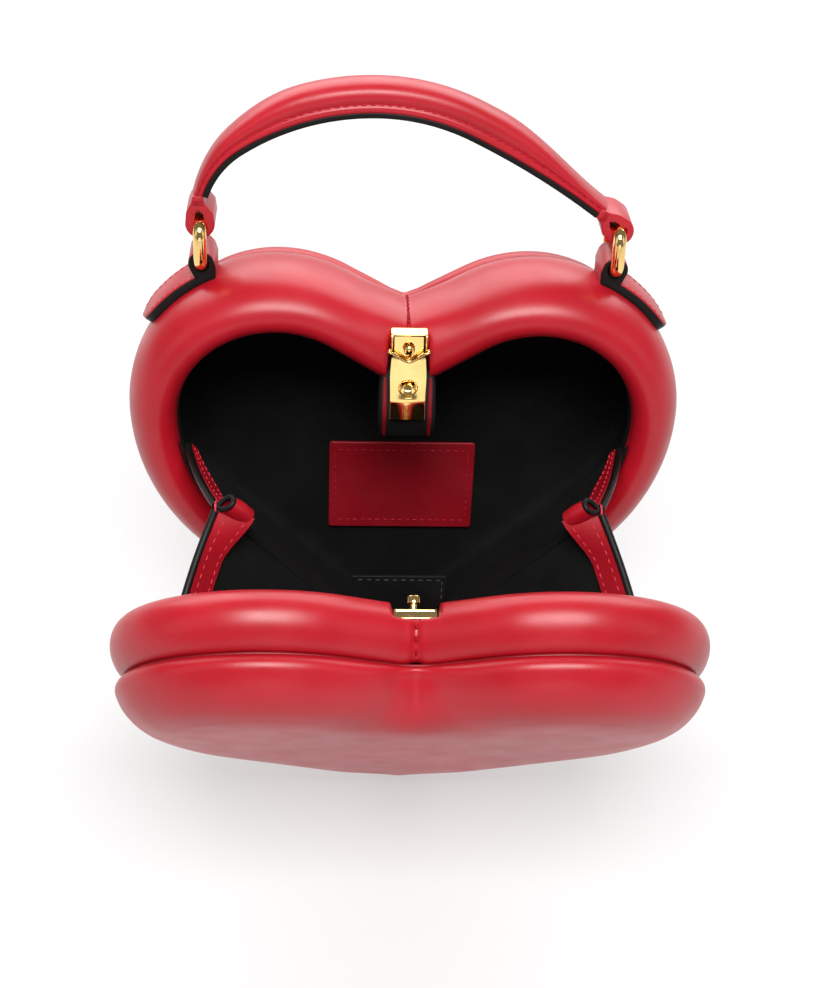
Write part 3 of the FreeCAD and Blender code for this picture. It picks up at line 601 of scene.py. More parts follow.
for name in ("back_board", "front_board"):
    nodes[name].data.materials.clear()
    nodes[name].data.materials.append(BOARD)


# Label, hinge patch and the leather hinge

def outline_run(half, points, v):
    """A line of (x, u) points of a half at one height, as points of the room."""
    return place(half, [(x, u, v) for x, u in points])


label_at = room("back", 1.0, 68.0, 43.1)
form = sheet_metal([rounded(-29, -20, 29, 20, 1.2)], 0.65, 0.35, label_at, X, UP["back"])
add("label_leather_patch", form, LABEL_RED, "back_half", "label_leather", ("label_patch",))
border = rounded(-25.5, 51.5, 27.5, 84.5, 0.6, 1)
runs = []
for a, b in zip(border, border[1:] + border[:1]):
    if math.dist(a, b) > 2:
        line = outline_run("back", [a, b], 42.45)
        runs += dashes(line, -OUT["back"], 3.0, 2.1)
thread("label_stitches", runs, 0.22, RED_THREAD, "back_half", "label_leather")

patch = [(7.8, 23.9), (18.5, 33.9), (18.5, 46.0), (-18.5, 46.0), (-18.5, 33.9), (-7.8, 23.9)]
form = sheet_metal([patch], 0.75, 0.3, room("back", 0, 0, 10.75), X, UP["back"])
add("hinge_cover_patch", form, BLACK_LEATHER, "back_half", "black_leather", ("hinge_patch",))
runs = dashes(outline_run("back", [(-17, 44.4), (17, 44.4)], 9.95), -OUT["back"], 3.2, 2.0)
runs += dashes(outline_run("back", [(17, 44.4), (17, 34.5)], 9.95), -OUT["back"], 3.2, 2.0)
thread("hinge_patch_stitches", runs, 0.22, GREY_THREAD, "back_half", "black_leather")

HINGE_HALF = 18.3
HINGE_ROWS = (34.0, 26, 18, 11, 6, 3, 1.6)
HINGE_SECTION = (
    (-1, 0.35), (-0.5, 0.3), (0, 0.3), (0.5, 0.3), (1, 0.35), (1, 1.5), (0.5, 1.6), (0, 1.6), (-0.5, 1.6), (-1, 1.5),
)
strip = []
for half, order in (("back", HINGE_ROWS), ("front", HINGE_ROWS[::-1])):
    for u in order:
        reach = min(HINGE_HALF, math.sqrt(TIP_R**2 - (TIP_R - min(u, TIP_R)) ** 2) + 0.4)
        strip.append([room(half, share * reach, u, v) * MM for share, v in HINGE_SECTION])
hinge = add("hinge_leather", loft(strip), BLACK_LEATHER, None, "black_leather",
            ("hinge_strip_back", "hinge_strip_front"))
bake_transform(hinge)


# Lock

def on_back(x, u, v):
    return room("back", x, u, v) * MM


def turn_on(half, u, rows, wide):
    """Vertices and faces of a turned piece that stands on a half at (0, u), from its (v, radius) rows."""
    return loft([
        [room(half, r * math.cos(a), u + r * math.sin(a), v) * MM for a in around(wide)] for v, r in rows
    ])


STUD_U, KNOB_U, TRAVEL = 136.6, 151.8, 3.0
PLATE_U, PLATE_V = 143.0, 0.8
LOCK_SLOPE = 0.23
LOCK_STRETCH = math.hypot(1.0, LOCK_SLOPE)
LOCK_UP = unit(UP["back"] + LOCK_SLOPE * OUT["back"])
LOCK_OUT = np.cross(LOCK_UP, X)


def on_plate(x, u, depth):
    """A point behind the slanted face plate, in metres; u counts up the back half."""
    return (room("back", x, u, PLATE_V + (u - PLATE_U) * LOCK_SLOPE) + depth * LOCK_OUT) * MM


def along_plate(u):
    """The distance up the slanted plate from its middle, of a height u of the back half."""
    return (u - PLATE_U) * LOCK_STRETCH


# Rows of the tongue: u, half its width, its front and its back
TONGUE = (
    (113.8, 7.4, 3.6, 8.0), (114.4, 9.3, 1.9, 9.8), (116, 10.3, 0.9, 10.6), (121, 10.5, -0.8, 10.7),
    (125, 10.5, -1.9, 10.7), (131, 10.4, -1.2, 10.7), (137, 10.2, 0.6, 10.7), (141, 9.3, 1.6, 10.7),
    (143, 7.2, 2.1, 10.7), (150, 6.8, 3.4, 10.6), (155.2, 6.2, 5.0, 10),
)
rows = []
for u, half_x, front, back in TONGUE:
    corner = min(2.0, (back - front) * 0.35)
    rows.append([on_back(x, u, v) for x, v in rounded(-half_x, front, half_x, back, corner, 4)])
tongue = add("lock_tongue_leather", loft(rows), BLACK_LEATHER, "back_half", "black_leather", ("lock_tongue",), 60.0)

# The slide's room is cut out of it
verts, faces = sheet_metal([rounded(-5.6, 126.2, 5.6, 155.4, 0.6)], 5.2, 0.1, room("back", 0, 0, 2.0), X, UP["back"])
pocket_mesh = bpy.data.meshes.new("lock_room")
pocket_mesh.from_pydata([tuple(v) for v in verts], [], faces)
pocket = show("lock_room", pocket_mesh)
cut = tongue.modifiers.new("room", "BOOLEAN")
cut.object = pocket
cut.operation = "DIFFERENCE"
cut.solver = "EXACT"
bpy.context.view_layer.update()
carved = bpy.data.meshes.new_from_object(tongue.evaluated_get(bpy.context.evaluated_depsgraph_get()))
tongue.modifiers.clear()
tongue.data = carved
bpy.data.objects.remove(pocket)

tongue_u, _, tongue_front, _ = zip(*TONGUE[2:8])
strips = []
for side in (-1, 1):
    rows = []
    for u in np.linspace(116.2, 140.0, 13):
        close = 0.35 + 0.65 * math.sin(math.pi * np.clip((u - 115.6) / 26.0, 0, 1)) ** 0.4
        front = np.interp(u, tongue_u, tongue_front)
        rows.append([on_back(side * (8.2 + 0.85 * close * math.cos(a)), u, front + 0.2 + 0.55 * close * math.sin(a))
                     for a in around(12)])
    strips.append(loft(rows))
add("lock_tongue_binding", merge(*strips), DEEP_RED_AND_GROOVE_SHADE, "back_half", "red_leather")

plate_edge = [
    (6.35, 131.4), (6.45, 136), (6.6, 141), (6.35, 145.6), (6.15, 147.6), (5.5, 148.6), (5.3, 149.8), (5.3, 156.4),
]
right = [(x, along_plate(u)) for x, u in smooth(plate_edge, 4, False)]
plate_outline = right + [(-x, s) for x, s in right[::-1]]
slot = rounded(-1.05, along_plate(147.4), 1.05, along_plate(152.9), 1.0, 6)
middle = room("back", 0, PLATE_U, PLATE_V)
face_part = sheet_metal([plate_outline, circle(0, along_plate(STUD_U), 3.5), slot], 0.4, 0.12, middle, X, LOCK_UP)
lip_rows = []
for u, v in ((131.8, -1.78), (131.2, -1.9), (130.4, -2.03), (128.6, -2.31), (126.6, -2.63), (125.2, -2.85)):
    lip_rows.append([on_back(x, u, v + dv) for x, dv in (
        (-6.35, -0.3), (-6.2, -0.4), (6.2, -0.4), (6.35, -0.3), (6.35, 0.3), (6.2, 0.4), (-6.2, 0.4), (-6.35, 0.3))])
lip_part = loft(lip_rows)
flange_part = sheet_metal([rounded(-6.5, -0.2, 6.5, 5.6, 1.3)], 0.4, 0.18, room("back", 0, 157.7, 0), X, OUT["back"])
cheek = rounded(-0.2, 150.0, 5.2, 157.8, 0.9)
cheeks = [
    sheet_metal([cheek], 0.35, 0.15, room("back", side * 6.15, 0, 0), OUT["back"], UP["back"]) for side in (-1, 1)
]
sink = []
for radius, depth in ((3.62, -0.42), (3.3, -0.2), (2.95, 0.25), (2.75, 0.55), (2.9, 0.62), (3.6, 0.5)):
    sink.append([on_plate(radius * math.cos(a), STUD_U + radius * math.sin(a) / LOCK_STRETCH, depth)
                 for a in around(40)])
ears = [ball(on_back(side * 7.0, 151.1, 0.1), (0.75 * MM * X, 1.15 * MM * UP["back"], 1.0 * MM * OUT["back"]))
        for side in (-1, 1)]
dish = []
for radius, depth in ((3.5, 4.4), (3.3, 4.9), (2.4, 5.5), (1.2, 5.8), (0.2, 5.9), (0.2, 6.3), (3.6, 6.2), (3.7, 4.6)):
    dish.append([on_plate(radius * math.cos(a), STUD_U + radius * math.sin(a), depth) for a in around(40)])
form = merge(face_part, lip_part, flange_part, *cheeks, loft(sink, closed=True),
                     loft(dish, closed=True), *ears)
add("lock_face_plate", form, GOLD, "back_half", "gold_metal", ("lock_plate",), 40.0)

keyhole = []
for radius, u, angles in (
    (1.4, STUD_U, np.linspace(math.pi, 2 * math.pi, 10)), (2.9, STUD_U + TRAVEL, np.linspace(-1.05, 4.19, 24)),
):
    keyhole += [(radius * math.cos(a), along_plate(u) + radius * math.sin(a)) for a in angles]
slide_edge = rounded(-4.9, along_plate(130.0), 4.9, along_plate(154.6), 0.8)
form = sheet_metal([slide_edge, keyhole], 0.3, 0.08, middle + 0.85 * LOCK_OUT, X, LOCK_UP)
add("lock_keyhole_slide", form, GOLD, "release", "gold_metal", ("latch_slide",), 40.0)

form = turn_on("back", KNOB_U, (
    (4.2, 0.9), (1.5, 0.9), (1.3, 1.3), (1.0, 1.8), (0.5, 2.05), (0.0, 2.0), (-0.6, 1.6), (-0.95, 1.0), (-1.05, 0.4),
), 28)
add("lock_push_knob", form, GOLD, "release", "gold_metal", ("release_knob",), 40.0)

bend = smooth([(-7, 151.2, -0.9), (-5.6, 150.6, -1), (-2.6, 148.8, -1), (-0.6, 147.8, -1), (0.6, 147.8, -1),
               (2.6, 148.8, -1), (5.6, 150.6, -1), (7, 151.2, -0.9)], 6, False)
form = tube([on_back(*q) for q in bend], 0.55 * MM, 10)
spring = add("lock_wire_spring", form, GOLD, None, "gold_metal", ("lock_spring",), 60.0)
tuple(on_back(0, 151.0, -1))
tuple(on_back(0, 148.0, -1))
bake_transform(spring)


# Stud on the front half, its foot plate and the block that carries them

form = turn_on("front", STUD_U, (
    (3.8, 1.1), (-1.1, 1.1), (-1.15, 2.1), (-1.3, 2.36), (-3.2, 2.38), (-3.55, 2.2), (-3.7, 1.7), (-3.75, 0.5),
), 32)
add("catch_stud_turned", form, GOLD, "front_half", "gold_metal", ("catch_stud",), 40.0)
foot_plate = sheet_metal([rounded(-7, 129.2, 7, 147.4, 1.0)], 0.4, 0.15, room("front", 0, 0, 3.5), X, UP["front"])
collar = turn_on("front", STUD_U, ((3.3, 1.0), (3.2, 2.0), (2.9, 1.9), (2.6, 1.5), (2.5, 1.0)), 32)
lip_way = OUT["front"] + 0.14 * UP["front"]
folded = sheet_metal([rounded(-7, 0, 7, 3.1, 0.5)], 0.4, 0.15, room("front", 0, 146.9, 3.2), X, lip_way)
rivet_axes = (0.9 * MM * X, 0.9 * MM * UP["front"], 0.35 * MM * OUT["front"])
rivets = [ball(room("front", side * 4.4, 132.0, 3.1) * MM, rivet_axes) for side in (-1, 1)]
form = merge(foot_plate, folded, collar, *rivets)
add("stud_foot_plate", form, GOLD, "front_half", "gold_metal", ("stud_plate",), 40.0)

BLOCK_HALF, BLOCK_U, BLOCK_ARC = 9, 131, 24.4
block = []
for v, grow in ((4.2, -0.8), (4.8, -0.2), (6, 0), (12.4, 0), (13.3, -0.5), (13.6, -1.2)):
    zoom = 1 + grow / BLOCK_HALF
    ring = []
    for x, u in rounded(-BLOCK_HALF, 122.2, BLOCK_HALF, 139.4, 1.8, 5):
        if u > 130:
            u = NOTCH_U - math.sqrt(BLOCK_ARC**2 - x * x)
        ring.append(room("front", x * zoom, BLOCK_U + (u - BLOCK_U) * zoom, v) * MM)
    block.append(ring)
add("stud_block_lining", loft(block), LINING, "front_half", "black_lining", ("stud_block",), 60.0)


# Seams over the notch: a zigzag on the outside of the back band, a plain seam on the front band

back_crest = band_rings["back"][4:26, NOTCH]
line = back_crest[back_crest[:, 2] > 5.0]
line = line[np.argsort(-line[:, 2])]
along = arc_length(line)
spots = [np.array([np.interp(t, along, line[:, k]) for k in range(3)]) for t in np.arange(0.0, along[-1], 1.5)]
runs = []
for i in range(len(spots) - 1):
    a, b = (spots[i] + (0.55, 0.5, -0.2), spots[i + 1] - (0.55, -0.5, 0.2))
    if i % 2:
        a, b = a * (-1, 1, 1), b * (-1, 1, 1)
    runs.append((place("back", a), place("back", b), UP["back"]))
thread("back_notch_seam", runs, 0.27, DARK_THREAD, "back_half", "red_leather")

line = place("front", band_rings["front"][3:22, NOTCH] + (0.0, 0.55, 0.0))
runs = dashes(line, UP["front"], 4.0, 2.4)
thread("front_notch_seam", runs, 0.45, DARK_THREAD, "front_half", "red_leather")


# Gussets: two leaves a side, sewn to the rims, folded inward and pinched near the top

SEAM_LOW, SEAM_TOP, SEAM_V = (21.997, 38.0), (80.414, 108.527), 4.0
FOLD_UP = unit(UP["back"] + UP["front"])
FOLD_ACROSS = np.cross(FOLD_UP, X)
PINCH_X, PINCH_R = 67.5, 118.3
HEM_LOW, HEM_TOP = 0.885, 0.992


def on_fold(side, x, r, across=0.0):
    """A point near the plane that the gusset folds on, in millimetres."""
    return HINGE + side * x * X + r * FOLD_UP + across * FOLD_ACROSS


def leaf_frame(half, side):
    """A function that gives the places on one leaf, and the leaf's outward normal."""
    low = room(half, side * SEAM_LOW[0], SEAM_LOW[1], SEAM_V)
    top = room(half, side * SEAM_TOP[0], SEAM_TOP[1], SEAM_V)
    pinch = on_fold(side, PINCH_X, PINCH_R)
    chord = unit(top - low)
    inward = unit(pinch - low - chord * np.dot(chord, pinch - low))
    low_fold = low + inward * (-np.dot(low - HINGE, FOLD_ACROSS) / np.dot(inward, FOLD_ACROSS) - 1.0)
    pinch = pinch - inward * 1.0
    outward = np.cross(chord, inward)
    outward *= np.sign(outward[0] * side)

    def at(s, t, offset):
        """A place on the leaf: s up the seam, t from the rim to the fold, offset outward."""
        flat = (low + s * (top - low)) * (1 - t) + (low_fold + s * (pinch - low_fold)) * t
        swell = 1.3 * math.sin(math.pi * np.clip(t, 0, 1)) * np.clip(s, 0, 1)
        return (flat + outward * (offset + swell)) * MM

    return at, outward


def slab(at, s_range, t_range, o_range, steps):
    """Vertices and faces of a closed slab of a leaf."""
    s = np.linspace(*s_range, steps[0])
    t = np.linspace(*t_range, steps[1])
    inner, outer = o_range
    return loft([[at(a, b, outer) for a in s] + [at(a, b, inner) for a in s[::-1]] for b in t])


for half in BAND:
    for side, name in SIDES:
        body, title = f"gusset_leaf_{name}_{half}", f"gusset_{name}_{half}"
        at, outward = leaf_frame(half, side)
        form = slab(at, (0.0, 1.0), (0.0, 0.93), (0.1, 1.1), (24, 14))
        leaf = add(f"{title}_leather", form, RED, body, "red_leather", (title,))
        form = slab(at, (0.0, 0.93), (0.0, 1.06), (-0.9, -0.05), (24, 14))
        inside = add(f"{title}_cloth", form, LINING, body, "black_lining", (f"gusset_lining_{name}_{half}",))

        def gather(s, t, offset):
            """A place on the hem, which sweeps out to the pinched fold near the top."""
            if half == "back":
                s = HEM_TOP - (HEM_TOP - s) * (0.3 + 0.7 * step_up(t, 0.0, 0.6))
            share = (HEM_TOP - s) / (HEM_TOP - HEM_LOW)
            reach = step_up(t, 0.68, 1.0) * share * (0.75 if half == "back" else 1.0)
            return at(s, t, offset) + reach * MM * (4.4 * FOLD_UP - 6.8 * side * X)

        form = slab(gather, (HEM_LOW, HEM_TOP), (0.0, 1.0), (-2.0, -0.1), (6, 20))
        hem = add(f"{title}_hem", form, HEM_RED, body, "red_leather")
        rim = [at(1.0, t, -0.4) for t in np.linspace(0.0, 1.0, 16)]
        edge = add(f"{title}_edge", tube(rim, 1.35 * MM, 10), EDGE_PAINT, body, "black_leather")
        runs = []
        for s in (0.905, 0.968):
            line = [gather(s, t, -2.0) for t in np.linspace(0.02, 0.95, 24)]
            runs += dashes(line, -outward, 3.1, 2.0)
        thread(f"{title}_stitches", runs, 0.24, PALE_THREAD, body, "red_leather")

# The pinched fold between two leaves: (x, r) of its outer and inner end and its half width, from the top down
PINCH = [
    ((67.4, 118.2), (60.4, 122.6), 2.9), ((66.8, 114.6), (56.8, 119.2), 3.5), ((65.8, 110.8), (54.0, 115.2), 3.6),
    ((64.2, 105.5), (57.0, 107.5), 1.6), ((61.0, 97.0), (58.5, 98.0), 0.6),
]
for side, name in SIDES:
    body = f"gusset_leaf_{name}_back"
    skins = []
    for base, end, wide in PINCH:
        ring = []
        for a in np.linspace(-math.pi, math.pi, 28, endpoint=False):
            c = (1 + math.cos(a)) / 2
            p = np.array(base) + (np.array(end) - np.array(base)) * c
            ring.append(on_fold(side, p[0], p[1], wide * math.sin(a) * math.sqrt(c) * 1.25) * MM)
        skins.append(ring)
    skins = np.array(skins)
    rows = np.array([skins[0], 0.5 * (skins[0] + skins[1]), skins[1], 0.5 * (skins[1] + skins[2]), skins[2]])
    centre = rows.mean(axis=1, keepdims=True)
    inner = centre + (rows - centre) * (0.74, 0.66, 0.9)
    add(f"gusset_{name}_fold", loft(np.concatenate((rows, inner[::-1])), closed=True), RED, body, "red_leather")
    form = tube(0.5 * (skins[0] + inner[0]), 0.95 * MM, 10, closed=True)
    add(f"gusset_{name}_fold_edge", form, EDGE_PAINT, body, "black_leather")
    add(f"gusset_{name}_fold_cloth", loft(skins[2:], caps=(False, True)), LINING, body, "black_lining")
    tack, tack_out = on_fold(side, 67.2, 118.6) * MM, unit(FOLD_UP + 0.5 * side * X)
    runs = []
    for k in (-1, 0, 1):
        start, end = (tack + MM * (k * 0.9 * FOLD_UP + e * 2.4 * FOLD_ACROSS) for e in (-1, 1))
        runs.append((start, end, tack_out))
    thread(f"gusset_{name}_tack", runs, 0.4, PALE_THREAD, body, "red_leather")

# Below the leaves the lining closes the gusset down to the hinge
for side, name in SIDES:
    rings = []
    for u in np.linspace(40.5, 5.6, 13):
        x = max(SEAM_LOW[0] - (SEAM_LOW[1] - u) * 0.828, 1.3)
        skin = []
        for a in np.linspace(0.0, 1.0, 13):
            dip = (1.5 + 0.2 * x) * math.sin(math.pi * a)
            back, front = (room(half, side * (x + 1.2), u, 3.2) for half in ("back", "front"))
            skin.append((1 - a) * back + a * front - side * dip * X)
        rings.append([q * MM for q in skin] + [(q - side * 0.8 * X) * MM for q in skin[::-1]])
    root = add(f"gusset_{name}_root", loft(rings), LINING, None, "black_lining")
    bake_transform(root)

# The leaves' sewn margins, between the seam and the rim
WELT_R = 60.7
for half in BAND:
    for side, name in SIDES:
        low, top = np.array(SEAM_LOW), np.array(SEAM_TOP)
        chord = unit(top - low)
        off = np.array((chord[1], -chord[0]))
        inner = [low + chord * t + off * 1.3 for t in np.linspace(0, 89.6, 20)]
        angles = np.radians(np.linspace(-7.5, -FLANK_ANGLE, 14))
        outer = [np.array((FLANK_X, WIDEST)) + WELT_R * ray(a) for a in angles] + [(24.9, 38.0)]
        outline = [(side * x, u) for x, u in inner + outer][::side]
        form = sheet_metal([outline], 0.9, 0.2, room(half, 0, 0, SEAM_V), X, UP[half])
        add(f"gusset_welt_{name}_{half}_cloth", form, LINING, BODY[half], "black_lining",
            (f"gusset_welt_{name}_{half}",))


# Strap tabs on the shoulders and the handle on its rings

RING_V, RING_X, RING_LOW, RING_TOP = 28.4, 74.365, 174.47, 189.67
RING_HALF, RING_CORNER, WIRE, WIRE_ROOM = 11.0, 4.0, 2.4, 2.65
TAB_R, TAB_HALF = 54.7, 8.4


def strap(stations, wide, low, high, steps=3):
    """A leather strap through (x, u, outward x, outward u) stations of the back half, with round edges."""
    rings = []
    for (x, u, nx, nu), half_w in zip(stations, wide):
        ring = []
        for w, h in rounded(-half_w, low, half_w, high, min(high - low, half_w) * 0.3, steps):
            ring.append(on_back(x + nx * h, u + nu * h, RING_V + w))
        rings.append(ring)
    return loft(rings)


def in_band(name, outlines, half_depth, material, body, slot):
    """A piece of leather seen edge on from the front, as deep as the strap is wide."""
    add(name, sheet_metal(outlines, half_depth, 0.5, room("back", 0, 0, RING_V), X, UP["back"]), material, body, slot)


for side, name in SIDES:
    angles = np.radians(np.linspace(32.5, 65.5, 24))
    along = (angles - angles[0]) * 55.0
    widths = [TAB_HALF * math.sqrt(max(1 - (1 - min(t / 7.0, 1.0)) ** 2, 0.02)) for t in along]
    stations = [(side * (LOBE_X + TAB_R * math.cos(a)), WIDEST + TAB_R * math.sin(a), side * math.cos(a), math.sin(a))
                for a in angles]
    form = strap(stations, widths, -0.6, 3.75)
    add(f"tab_{name}_edge", form, EDGE_PAINT, "back_half", "black_leather", (f"tab_{name}",))
    add(f"tab_{name}_leather", strap(stations, [w - 0.55 for w in widths], 3.0, 4.0), RED, "back_half", "red_leather")
    runs = []
    for w in (-1, 1):
        seam = [on_back(x + nx * 3.97, u + nu * 3.97, RING_V + w * (half_w - 1.7))
                for (x, u, nx, nu), half_w in zip(stations, widths) if half_w > 4.5]
        normals = [nx * X + nu * UP["back"] for x, u, nx, nu in stations[-len(seam):]]
        runs += dashes(seam, normals, 2.6, 1.8)
    thread(f"tab_{name}_stitches", runs, 0.18, RED_THREAD, "back_half", "red_leather")

    bar = np.array((RING_X, RING_LOW))
    foot = np.array((LOBE_X, WIDEST)) + 55.5 * unit(bar - (LOBE_X, WIDEST))
    way = unit(foot - bar)
    across = np.array((-way[1], way[0]))
    first = math.atan2(-across[1], -across[0])
    for kind, reach, half_depth, material, slot in (
        ("core", 4.6, 8.35, EDGE_PAINT, "black_leather"), ("skin", 4.75, 7.9, RED, "red_leather"),
    ):
        loop = [bar + reach * ray(a) for a in np.linspace(first, first - math.pi, 24)]
        loop += [foot + across * (reach + 0.2) + way * 2.5, foot - across * 1.2 + way * 2.5]
        loop.append(bar - across * (reach - 0.5) + way * 3.2)
        outlines = [[(side * x, u) for x, u in shape] for shape in (loop, circle(*bar, WIRE_ROOM, 32))]
        in_band(f"tab_{name}_loop_{kind}", outlines, half_depth, material, "back_half", slot)

    edge = rounded(-RING_HALF, RING_LOW, RING_HALF, RING_TOP, RING_CORNER, 8)
    path = [on_back(side * RING_X, u, RING_V + v) for v, u in edge[9:] + edge[:9]]
    form = tube(path, WIRE * MM, 20, closed=True)
    add(f"ring_{name}_wire", form, GOLD, f"{name}_ring", "gold_metal", (f"ring_{name}",), 60.0)


def biarc(start, heading, end, end_heading, step=1.5):
    """Points and normals of two arcs that turn right from one heading to another and meet along their chord."""
    p, q = np.array(start, float), np.array(end, float)
    chord = q - p
    slope = math.degrees(math.atan2(chord[1], chord[0]))
    first, last = math.radians(heading - slope), math.radians(slope - end_heading)
    share = (1 - math.cos(last)) / (1 - math.cos(first))
    radius = np.linalg.norm(chord) / (share * math.sin(first) + math.sin(last))
    found = []
    for at, way, reach, begin, close in (
        (p, heading, share * radius, heading, slope), (q, end_heading, radius, slope, end_heading),
    ):
        w = math.radians(way)
        centre = at + np.array((math.sin(w), -math.cos(w))) * reach
        count = max(int(math.radians(begin - close) * reach / step), 4)
        for h in np.radians(np.linspace(begin, close, count, endpoint=False)):
            normal = np.array((-math.sin(h), math.cos(h)))
            found.append((*(centre + reach * normal), *normal))
    return found


APEX, LEFT_HEADING, RIGHT_HEADING = (-12.6, RING_TOP + 41.7), 90, -38.7
PAD_BASE = 1.6
line = biarc((-RING_X, RING_TOP), LEFT_HEADING, APEX, 0) + biarc(APEX, 0, (RING_X, RING_TOP), RIGHT_HEADING)
h = math.radians(RIGHT_HEADING)
line.append((RING_X, RING_TOP, -math.sin(h), math.cos(h)))
line = np.array(line)
length = arc_length(line[:, :2])
from_end = np.minimum(length, length[-1] - length)
fullness = 0.26 + 0.65 * step_up(from_end, 9.0, 58.0)


def on_handle(i, w, height):
    """A point at one station of the handle, w across it and a height over its line, in metres."""
    x, u, nx, nu = line[i]
    return on_back(x + nx * height, u + nu * height, RING_V + w)


def on_grip(i, w, height):
    """The same on the padded grip, which gets narrower and flatter towards its ends."""
    full = fullness[i]
    return on_handle(i, w * (0.9 + 0.1 * full), min(height, PAD_BASE) + max(height - PAD_BASE, 0.0) * full)


SECTION = [
    (8.2, 0.5), (8.45, 1.3), (8.3, 2.4), (7.8, 3.1), (7.6, 3.4), (7.75, 4.1), (7.9, 5.6), (7.6, 7.3), (6.7, 8.9),
    (5.0, 10.2), (2.7, 10.9), (0, 11.1),
]
right = smooth(SECTION, 3, False)
section = np.concatenate((right, (right[:-1] * (-1, 1))[::-1]))
kept = [i for i in range(len(line)) if from_end[i] > 8.5]
form = loft([[on_grip(i, w, height) for w, height in section] for i in kept])
grip = add("handle_grip", form, RED, "handle", "red_leather", ("handle_pad",), 70.0)

under = rounded(-8.3, -1.5, 8.3, 0.6, 0.5, 3)
form = loft([[on_handle(i, w, h) for w, h in under] for i in kept if from_end[i] > 10.5])
add("handle_edge_strap", form, EDGE_PAINT, "handle", "black_leather", ("handle_strap",))
runs = []
for w in (-1, 1):
    seam = [on_grip(i, w * 7.66, PAD_BASE + 1.8) for i in kept]
    runs += dashes(seam, w * OUT["back"], 3.0, 2.1)
thread("handle_stitches", runs, 0.28, RED_THREAD, "handle", "red_leather")

# Outer and inner side of an end loop, as (along the handle, over its line)
LOOP_R = 5.2
LOOP_SIDES = (
    ((4.0, 4.8), (6.0, 3.9), (7.8, 3.0), (10.5, 2.3)), ((10.5, -1.4), (7.8, -1.9), (6.0, -3.1), (4.0, -4.7)),
)
for side, name in SIDES:
    end = line[0] if side < 0 else line[-1]
    bar, normal = end[:2], end[2:]
    way = np.array((normal[1], -normal[0])) * -side
    first, turn = math.atan2(-normal[1], -normal[0]), math.pi * side
    shape = [bar + LOOP_R * ray(a) for a in np.linspace(first, first + turn, 26)]
    for edge in LOOP_SIDES:
        shape += list(smooth([bar + way * t + normal * n for t, n in edge], 4, False))
    gap = 0.45 * side
    hole = [bar + WIRE_ROOM * ray(a) for a in np.linspace(first + gap, first + turn - gap, 24)]
    hole += [bar + way * t + normal * n for t, n in ((3.8, 1.5), (5.2, 0.5), (3.8, -1.1))]
    in_band(f"handle_{name}_loop", [shape, hole], 8.0, RED, "handle", "red_leather")
    runs = []
    for t in (7.6, 8.6):
        ends = [np.append(bar + way * t + normal * n, RING_V - 8.05) for n in (-1.5, 2.6)]
        runs.append((place("back", ends[0]), place("back", ends[1]), -OUT["back"]))
    thread(f"handle_{name}_tack", runs, 0.3, DARK_THREAD, "handle", "red_leather")


# Floor, light and camera

FLOOR = 40
floor_mesh = bpy.data.meshes.new("floor")
corners = [(-FLOOR, -FLOOR, 0), (FLOOR, -FLOOR, 0), (FLOOR, FLOOR, 0), (-FLOOR, FLOOR, 0)]
floor_mesh.from_pydata(corners, [], [(0, 1, 2, 3)])
floor = show("floor", floor_mesh)
material, tree, shader, where = graph("studio_floor")
tint(tree, noise(tree, where, 1.5), (0.29, 0.29, 0.29), (0.31, 0.31, 0.31), shader)
shader.inputs["Roughness"].default_value = 0.7
shader.inputs["Specular IOR Level"].default_value = 0.2
shader.inputs["Emission Color"].default_value = (1, 1, 1, 1)
shader.inputs["Emission Strength"].default_value = 0.52
floor_mesh.materials.append(material)


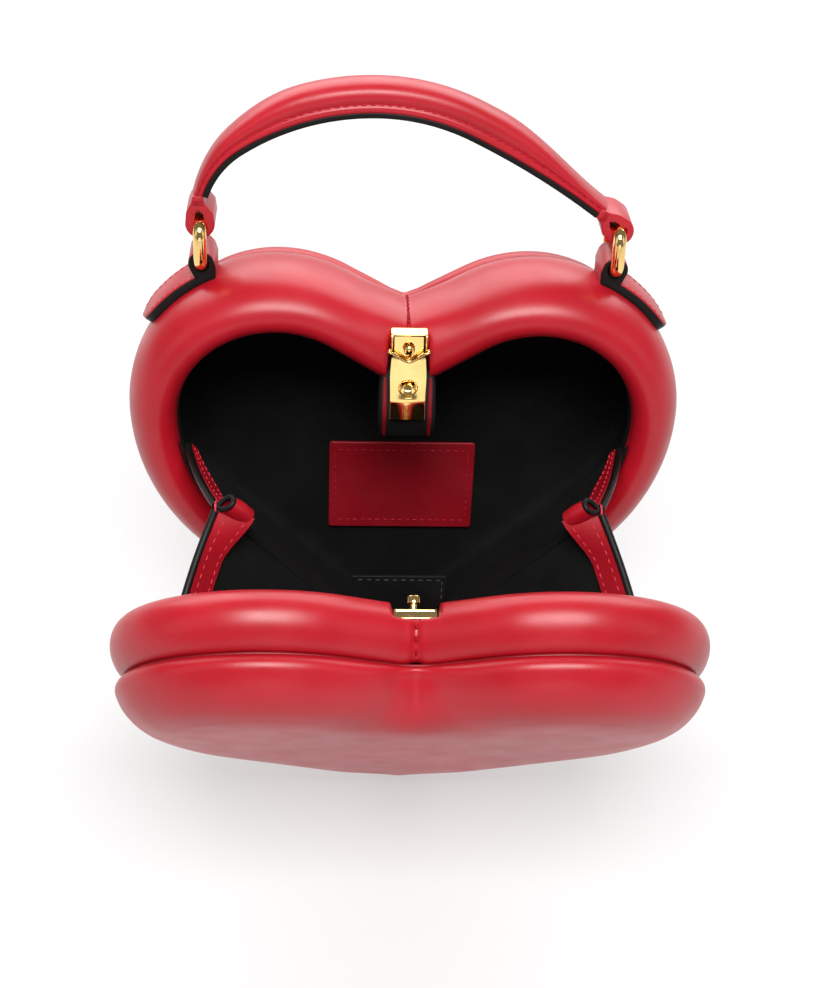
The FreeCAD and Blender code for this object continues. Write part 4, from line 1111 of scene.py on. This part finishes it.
def softbox(name, where, aim, size, power):
    """A rectangular light that looks at a point."""
    light = bpy.data.lights.new(name, "AREA")
    light.shape = "RECTANGLE"
    light.size, light.size_y = size
    light.energy = power
    holder = show(name, light)
    holder.location = where
    holder.rotation_euler = (Vector(aim) - Vector(where)).to_track_quat("-Z", "Y").to_euler()


softbox("overhead", (0.0, -0.55, 1.25), (0, -0.05, 0.1), (0.9, 0.5), 22)
softbox("front_fill", (0.0, -1.5, 0.29), (0, 0, 0.14), (0.9, 0.45), 1.4)
softbox("back_fill", (0.0, 1.0, 0.75), (0, 0, 0.12), (2.4, 1.0), 26)
softbox("left_side", (-1.3, -0.5, 0.7), (0, 0, 0.1), (0.7, 0.9), 1.5)
softbox("right_side", (1.3, -0.5, 0.7), (0, 0, 0.1), (0.7, 0.9), 1.5)

world = bpy.data.worlds.new("studio")
world.use_nodes = True
world.node_tree.nodes["Background"].inputs["Color"].default_value = (1, 1, 1, 1)
world.node_tree.nodes["Background"].inputs["Strength"].default_value = 0.2
bpy.context.scene.world = world
bpy.context.scene.view_settings.view_transform = "Standard"

# Angles and aim in the back half's frame, distance in millimetres, focal length in pixels
ELEVATION, AZIMUTH, ROLL = math.radians(32.602), math.radians(3.302), math.radians(2.358)
AIM, DISTANCE, FOCAL = (2.539, 0.0, 91.136), 641.92, 1711.8
IMAGE_HEIGHT, SENSOR = 988.0, 36.0
basis = np.array((X, OUT["back"], UP["back"]))
forward = np.array((
    math.sin(AZIMUTH) * math.cos(ELEVATION), math.cos(AZIMUTH) * math.cos(ELEVATION), -math.sin(ELEVATION)))
eye = np.array(AIM) - DISTANCE * forward
side = unit(np.cross(forward, (0, 0, 1)))
top = np.cross(side, forward)
side, top = (math.cos(ROLL) * side + math.sin(ROLL) * top, math.cos(ROLL) * top - math.sin(ROLL) * side)
camera_data = bpy.data.cameras.new("camera")
camera_data.sensor_width = SENSOR
camera_data.lens = FOCAL / IMAGE_HEIGHT * SENSOR
camera_data.clip_start = 0.01
camera = show("camera", camera_data)
turn = Matrix([list(side @ basis), list(top @ basis), list(-forward @ basis)]).transposed()
camera.matrix_world = Matrix.Translation(Vector((HINGE + eye @ basis) * MM)) @ turn.to_4x4()
bpy.context.scene.camera = camera
